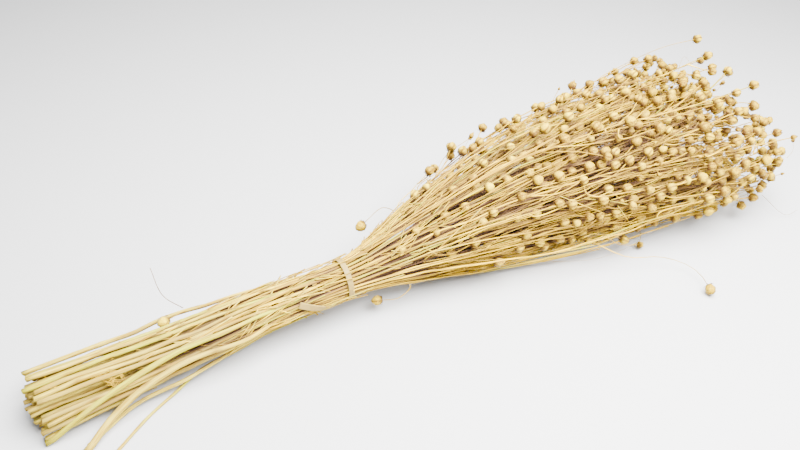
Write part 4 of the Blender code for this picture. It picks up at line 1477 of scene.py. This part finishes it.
loose = dict(
    headAround=(-0.3, 2.9),
    # pixel route, each with a height in metres, or "on" the bunch; radius; how brown; what ends it
    hairs=(
        (((183, 308, 0.024), (163, 296, 0.036), (150, 268, 0.052)), 0.00026, 1.0, None),
        (((540, 262, 0.004), (600, 258, 0.003), (636, 244, 0.006)), 0.00012, 0.8, None),
        (((762, 195, 0.010), (787, 215, 0.002), (797, 210, 0.003)), 0.00014, 0.9, None),
        (((787, 158, 0.040), (793, 150, 0.042), (793, 142, 0.044)), 0.00012, 0.8, "bud"),
        (((674, 84, 0.080), (686, 57, 0.092), (693, 70, 0.084)), 0.00013, 0.8, None),
        (((716, 92, 0.070), (719, 88, 0.072), (722, 84, 0.073)), 0.00012, 0.8, "bud"),
        (((636, 74, 0.085), (640, 70, 0.087), (643, 67, 0.088)), 0.00012, 0.8, "bud"),
        (((464, 150, 0.070), (467, 143, 0.074), (470, 138, 0.076)), 0.00012, 0.8, "bud"),
    ),
    twigs=(
        (((618, 206, "on"), (627, 219, "on"), (631, 226, "on")), 0.00022),
        (((640, 204, "on"), (632, 213, "on"), (621, 226, "on")), 0.00022),
        (((560, 196, "on"), (585, 206, "on"), (606, 214, "on")), 0.00022),
        (((305, 307, "on"), (311, 314, "on"), (318, 305, "on")), 0.00028),
        (((303, 305, "on"), (312, 309, "on"), (324, 314, "on")), 0.00026),
        (((258, 310, "on"), (246, 330, "on"), (226, 354, 0.012)), 0.00042),
        (((261, 312, "on"), (249, 332, "on"), (228, 356, 0.010)), 0.00040),
        (((269, 298, "on"), (275, 287, "on"), (278, 279, "on")), 0.00030),
        # under the near side, just off the table
        (((470, 274, 0.004), (540, 262, 0.004), (600, 249, 0.005)), 0.00045),
        (((500, 269, 0.006), (560, 257, 0.006), (640, 236, 0.008)), 0.00045),
        (((520, 263, 0.008), (590, 249, 0.010), (668, 226, 0.012)), 0.00040),
        (((540, 259, 0.010), (610, 244, 0.012), (690, 217, 0.014)), 0.00040),
        (((480, 271, 0.008), (545, 259, 0.009), (610, 245, 0.010)), 0.00045),
    ),
    # torn fibres round a pixel each, in pixels, then slivers and longer straws that cross the stems,
    # by how far along the bunch they lie, and stubs of broken twigs
    frays=dict(around=((97, 378), (104, 372), (110, 380), (117, 375), (114, 385), (50, 383)), each=10,
               reach=11, flatter=0.7, radius=0.00020, lift=0.0012, tint=(0.4, 0.6)),
    slivers=dict(count=300, spans=((-0.135, -0.012), (-0.075, -0.010), (-0.135, -0.012), (0.010, 0.065)),
                 length=(0.006, 0.026), turn=0.5, radius=(0.00018, 0.00044), lift=(0.0010, 0.0034),
                 lying=0.0013),
    crossers=dict(count=36, spans=((-0.150, -0.035), (0.004, 0.060)), length=(0.045, 0.095), turn=0.55,
                  radius=(0.0003, 0.0006), lift=(0.0008, 0.0018), lying=0.0012),
    stubs=dict(count=110, spans=((-0.140, -0.012), (0.010, 0.080)), length=(0.002, 0.006),
               radius=(0.0003, 0.0006), lying=0.0006, along=(0.5, 1.0), out=(0.3, 0.9)),
    onLift=0.0022, points=15, narrowing=0.7, hairRise=0.6, budRadius=(0.0013, 0.0018), budTint=0.8,
    arch=0.0003,
)


def looseSpot(px, py, height):
    return onBunch(px, py, loose["onLift"]) if height == "on" else atHeight(px, py, height)


def layTwig(gathered, points, radius, rng, tint, start=0.0, mark=0.0):
    line = curveThrough(points, loose["points"])
    line[:, 2] = np.maximum(line[:, 2], radius)
    thick = np.linspace(radius, radius * loose["narrowing"], loose["points"])
    layStraw(gathered, models["twig"], line, thick, (0.1, 0.2, 1), rng, tint, mark=mark, start=start)
    return line


def clearPoint(x, lift, angle):
    # a point that lies lift outside the outer ring
    return sectionPoint(x, 1 + lift / reachAt(x, math.cos(angle), math.sin(angle))[1], angle)


def makeLoose():
    gathered, rng = Gathered(), random.Random(bunch["seed"] * 5)
    draw = rng.uniform
    for route, radius, brown, end in loose["hairs"]:
        line = layTwig(gathered, [looseSpot(*spot) for spot in route], radius, rng, brown, loose["hairRise"],
                       brown**4)
        if end:
            layBoll(gathered, models[end], *endOf(line), draw(*loose["budRadius"]), rng,
                    loose["budTint"], [1])
    for route, radius in loose["twigs"]:
        layTwig(gathered, [looseSpot(*spot) for spot in route], radius, rng, 0.5)
    bits = loose["frays"]
    for px, py in bits["around"]:
        for _ in range(bits["each"]):
            route = []
            for number, share in enumerate((0.3, 0.7, 1.0)):
                aside, down = draw(-1, 1) * bits["reach"] * share, draw(-1, 1) * bits["reach"] * share
                route.append(onBunch(px + aside, py + down * bits["flatter"], bits["lift"] * (number + 1)))
            layTwig(gathered, route, bits["radius"], rng, draw(*bits["tint"]))
    for kind in ("slivers", "crossers"):
        bits = loose[kind]
        for _ in range(bits["count"]):
            route = crossingRoute(draw, bits, draw(*rng.choice(bits["spans"])), draw(*bits["length"]))
            if rng.random() < 0.5:
                route.reverse()
            layTwig(gathered, route, draw(*bits["radius"]), rng, draw(0, 1))
    bits = loose["stubs"]
    for _ in range(bits["count"]):
        route = stubRoute(draw, bits, draw(*rng.choice(bits["spans"])))
        layTwig(gathered, route, draw(*bits["radius"]), rng, draw(0, 1))
    makePiece(gathered, "looseBits")


def angleAt(draw, x):
    # below the head there are none
    return draw(0, 2 * math.pi) if x < 0 else draw(*loose["headAround"])


def crossingRoute(draw, bits, x, length):
    angle = angleAt(draw, x)
    turn, lift, lying = draw(-bits["turn"], bits["turn"]), draw(*bits["lift"]), bits["lying"]
    return [clearPoint(x, lying, angle),
            clearPoint(x + length * 0.5, (lying + lift) / 2 + loose["arch"], angle + turn * 0.5),
            clearPoint(x + length, lift, angle + turn)]


def stubRoute(draw, bits, x):
    angle = angleAt(draw, x)
    base, ahead = (clearPoint(at, bits["lying"], angle) for at in (x, x + 0.01))
    along = (ahead - base).normalized()
    out = squareTo(along, base - axisPoint(x))
    way = (along * draw(*bits["along"]) + out * draw(*bits["out"])).normalized()
    return [base, base + way * draw(*bits["length"])]


makeLoose()
print("laid the loose bits")


# The tie: a flat elastic band drawn round the stems, with its doubled end along them

tieLook = dict(
    segments=72, across=4, dents=30, dent=0.00022, dentReach=0.9985, roundEdge=0.00022, tipWide=1.15,
    cloud=tone(141, 119, 58), plain=tone(127, 104, 50), speck=tone(127, 101, 50),
)


def drawBand():
    band = startModel("elasticTie", bpy.ops.mesh.primitive_cylinder_add, vertices=tieLook["segments"],
                      radius=tieRadius + stemSize["radius"][0] + tie["slack"], depth=tie["width"],
                      end_fill_type="NOTHING", location=(0, 0, axisHeight(0)), rotation=(0, math.pi / 2, 0))
    enter("OBJECT")
    bpy.ops.object.transform_apply()
    enter("EDIT")
    pick(band, "EDGE", lambda a, b: abs(a.x - b.x) > tie["width"] * 0.9)
    bpy.ops.mesh.subdivide(number_cuts=tieLook["across"] - 1)
    # the stems beneath press through a little
    for number in range(tieLook["dents"]):
        turn = 2 * math.pi * (number + 0.5) / tieLook["dents"]
        middle = Vector((0, math.cos(turn), math.sin(turn)))
        reshape(band, lambda co: squareTo(xAxis, co - axisPoint(0)).dot(middle) > tieLook["dentReach"],
                translate=-middle * tieLook["dent"])
    return band


def drawTongue():
    # an edge along Y, which is drawn out along the route of the loose end
    tongue = startModel("tongue", bpy.ops.mesh.primitive_plane_add, size=1, location=(0, 0, 0))
    pick(tongue, "VERT", lambda co: co.x > 0)
    bpy.ops.mesh.delete(type="VERT")
    bpy.ops.mesh.select_all(action="SELECT")
    bpy.ops.mesh.subdivide(number_cuts=tieLook["across"] - 1)
    enter("OBJECT")
    row = sorted(range(tieLook["across"] + 1), key=lambda i: tongue.data.vertices[i].co.y)
    route = tongueRoute()
    for step, (middle, wide) in enumerate(route):
        if step:
            enter("EDIT")
            bpy.ops.mesh.extrude_region_move()
            enter("OBJECT")
            row = [index + len(row) for index in row]
        share = 1 + (tieLook["tipWide"] - 1) * step / (len(route) - 1)
        for place, index in enumerate(row):
            tongue.data.vertices[index].co = middle + wide * tie["width"] * share * (
                place / tieLook["across"] - 0.5)
    return tongue


def makeTie():
    band, tongue = drawBand(), drawTongue()
    for part in (band, tongue):
        deselectAll()
        bpy.context.view_layer.objects.active = part
        part.select_set(True)
        enter("EDIT")
        smoothAll()
        enter("OBJECT")
        wall = part.modifiers.new("wall", "SOLIDIFY")
        wall.thickness, wall.offset = tie["thickness"], 1.0 if part is band else 0.0
        edge = part.modifiers.new("edge", "BEVEL")
        edge.width, edge.segments, edge.limit_method = tieLook["roundEdge"], 2, "ANGLE"
        for name in ("wall", "edge"):
            bpy.ops.object.modifier_apply(modifier=name)
    joinTo(band, [tongue])
    enter("EDIT")
    bpy.ops.mesh.select_all(action="SELECT")
    bpy.ops.mesh.normals_make_consistent(inside=False)
    bpy.ops.transform.translate(value=-bunch["middle"])
    enter("OBJECT")
    band.data.materials.clear()
    band.data.materials.append(elasticFinish("paleElastic"))
    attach(band, "root")
    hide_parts("tie_band")


def elasticFinish(name):
    finish = Finish(name, Roughness=0.45, Specular_IOR_Level=0.2)
    spot = finish.node("ShaderNodeTexCoord", {}, {}, "Object")
    clouds, grain = finish.noise(spot, 420.0, 3.0), finish.noise(spot, 2600.0, 2.0)
    colour = finish.mix(clouds.ramp(0.35, 0.7), tieLook["cloud"], tieLook["plain"])
    colour = finish.mix(grain.ramp(0.62, 0.75, 0.4), colour, tieLook["speck"])
    return finish.drive(Base_Color=colour, Roughness=0.38 + clouds * 0.25,
                        Normal=finish.bump(clouds * 0.6 + grain * 0.3, 0.4, 0.0002))


makeTie()
print("drew the tie round the stems")


# Floor, light and camera

studio = dict(
    floor=6.0, floorAt=-0.0004, floorTone=tone(178, 178, 178), world=tone(250, 252, 255), worldStrength=0.46,
    # place, size and power
    lights=dict(keyLight=((0.07, -0.17, 0.58), 0.55, 57.0), lowLight=((0.20, -0.56, 0.20), 0.3, 4.0),
                fillLight=((-0.05, 0.42, 0.62), 0.8, 4.0)),
)


def addToScene(name, data, place, way):
    obj = bpy.data.objects.new(name, data)
    bpy.context.scene.collection.objects.link(obj)
    obj.location, obj.rotation_euler = place, Vector(way).to_track_quat("-Z", "Y").to_euler()
    return obj


def makeStudio():
    deselectAll()
    bpy.ops.mesh.primitive_plane_add(size=studio["floor"], location=(0, 0, studio["floorAt"]))
    floor = bpy.context.object
    floor.name = "floor"
    bpy.ops.object.transform_apply()
    finish = Finish("paleFloor", Base_Color=studio["floorTone"], Roughness=0.6, Specular_IOR_Level=0.2)
    floor.data.materials.append(finish.material)
    world = bpy.data.worlds.new("studio")
    bpy.context.scene.world = world
    world.use_nodes = True
    backdrop = world.node_tree.nodes["Background"].inputs
    backdrop["Color"].default_value = studio["world"]
    backdrop["Strength"].default_value = studio["worldStrength"]
    for name, (place, size, power) in studio["lights"].items():
        lamp = bpy.data.lights.new(name, "AREA")
        lamp.size, lamp.energy = size, power
        addToScene(name, lamp, place, -Vector(place))
    eye = bpy.data.cameras.new("camera")
    eye.lens, eye.sensor_width = view["lens"], view["sensor"]
    bpy.context.scene.camera = addToScene("camera", eye, cameraAt - bunch["middle"], view["ahead"])


makeStudio()
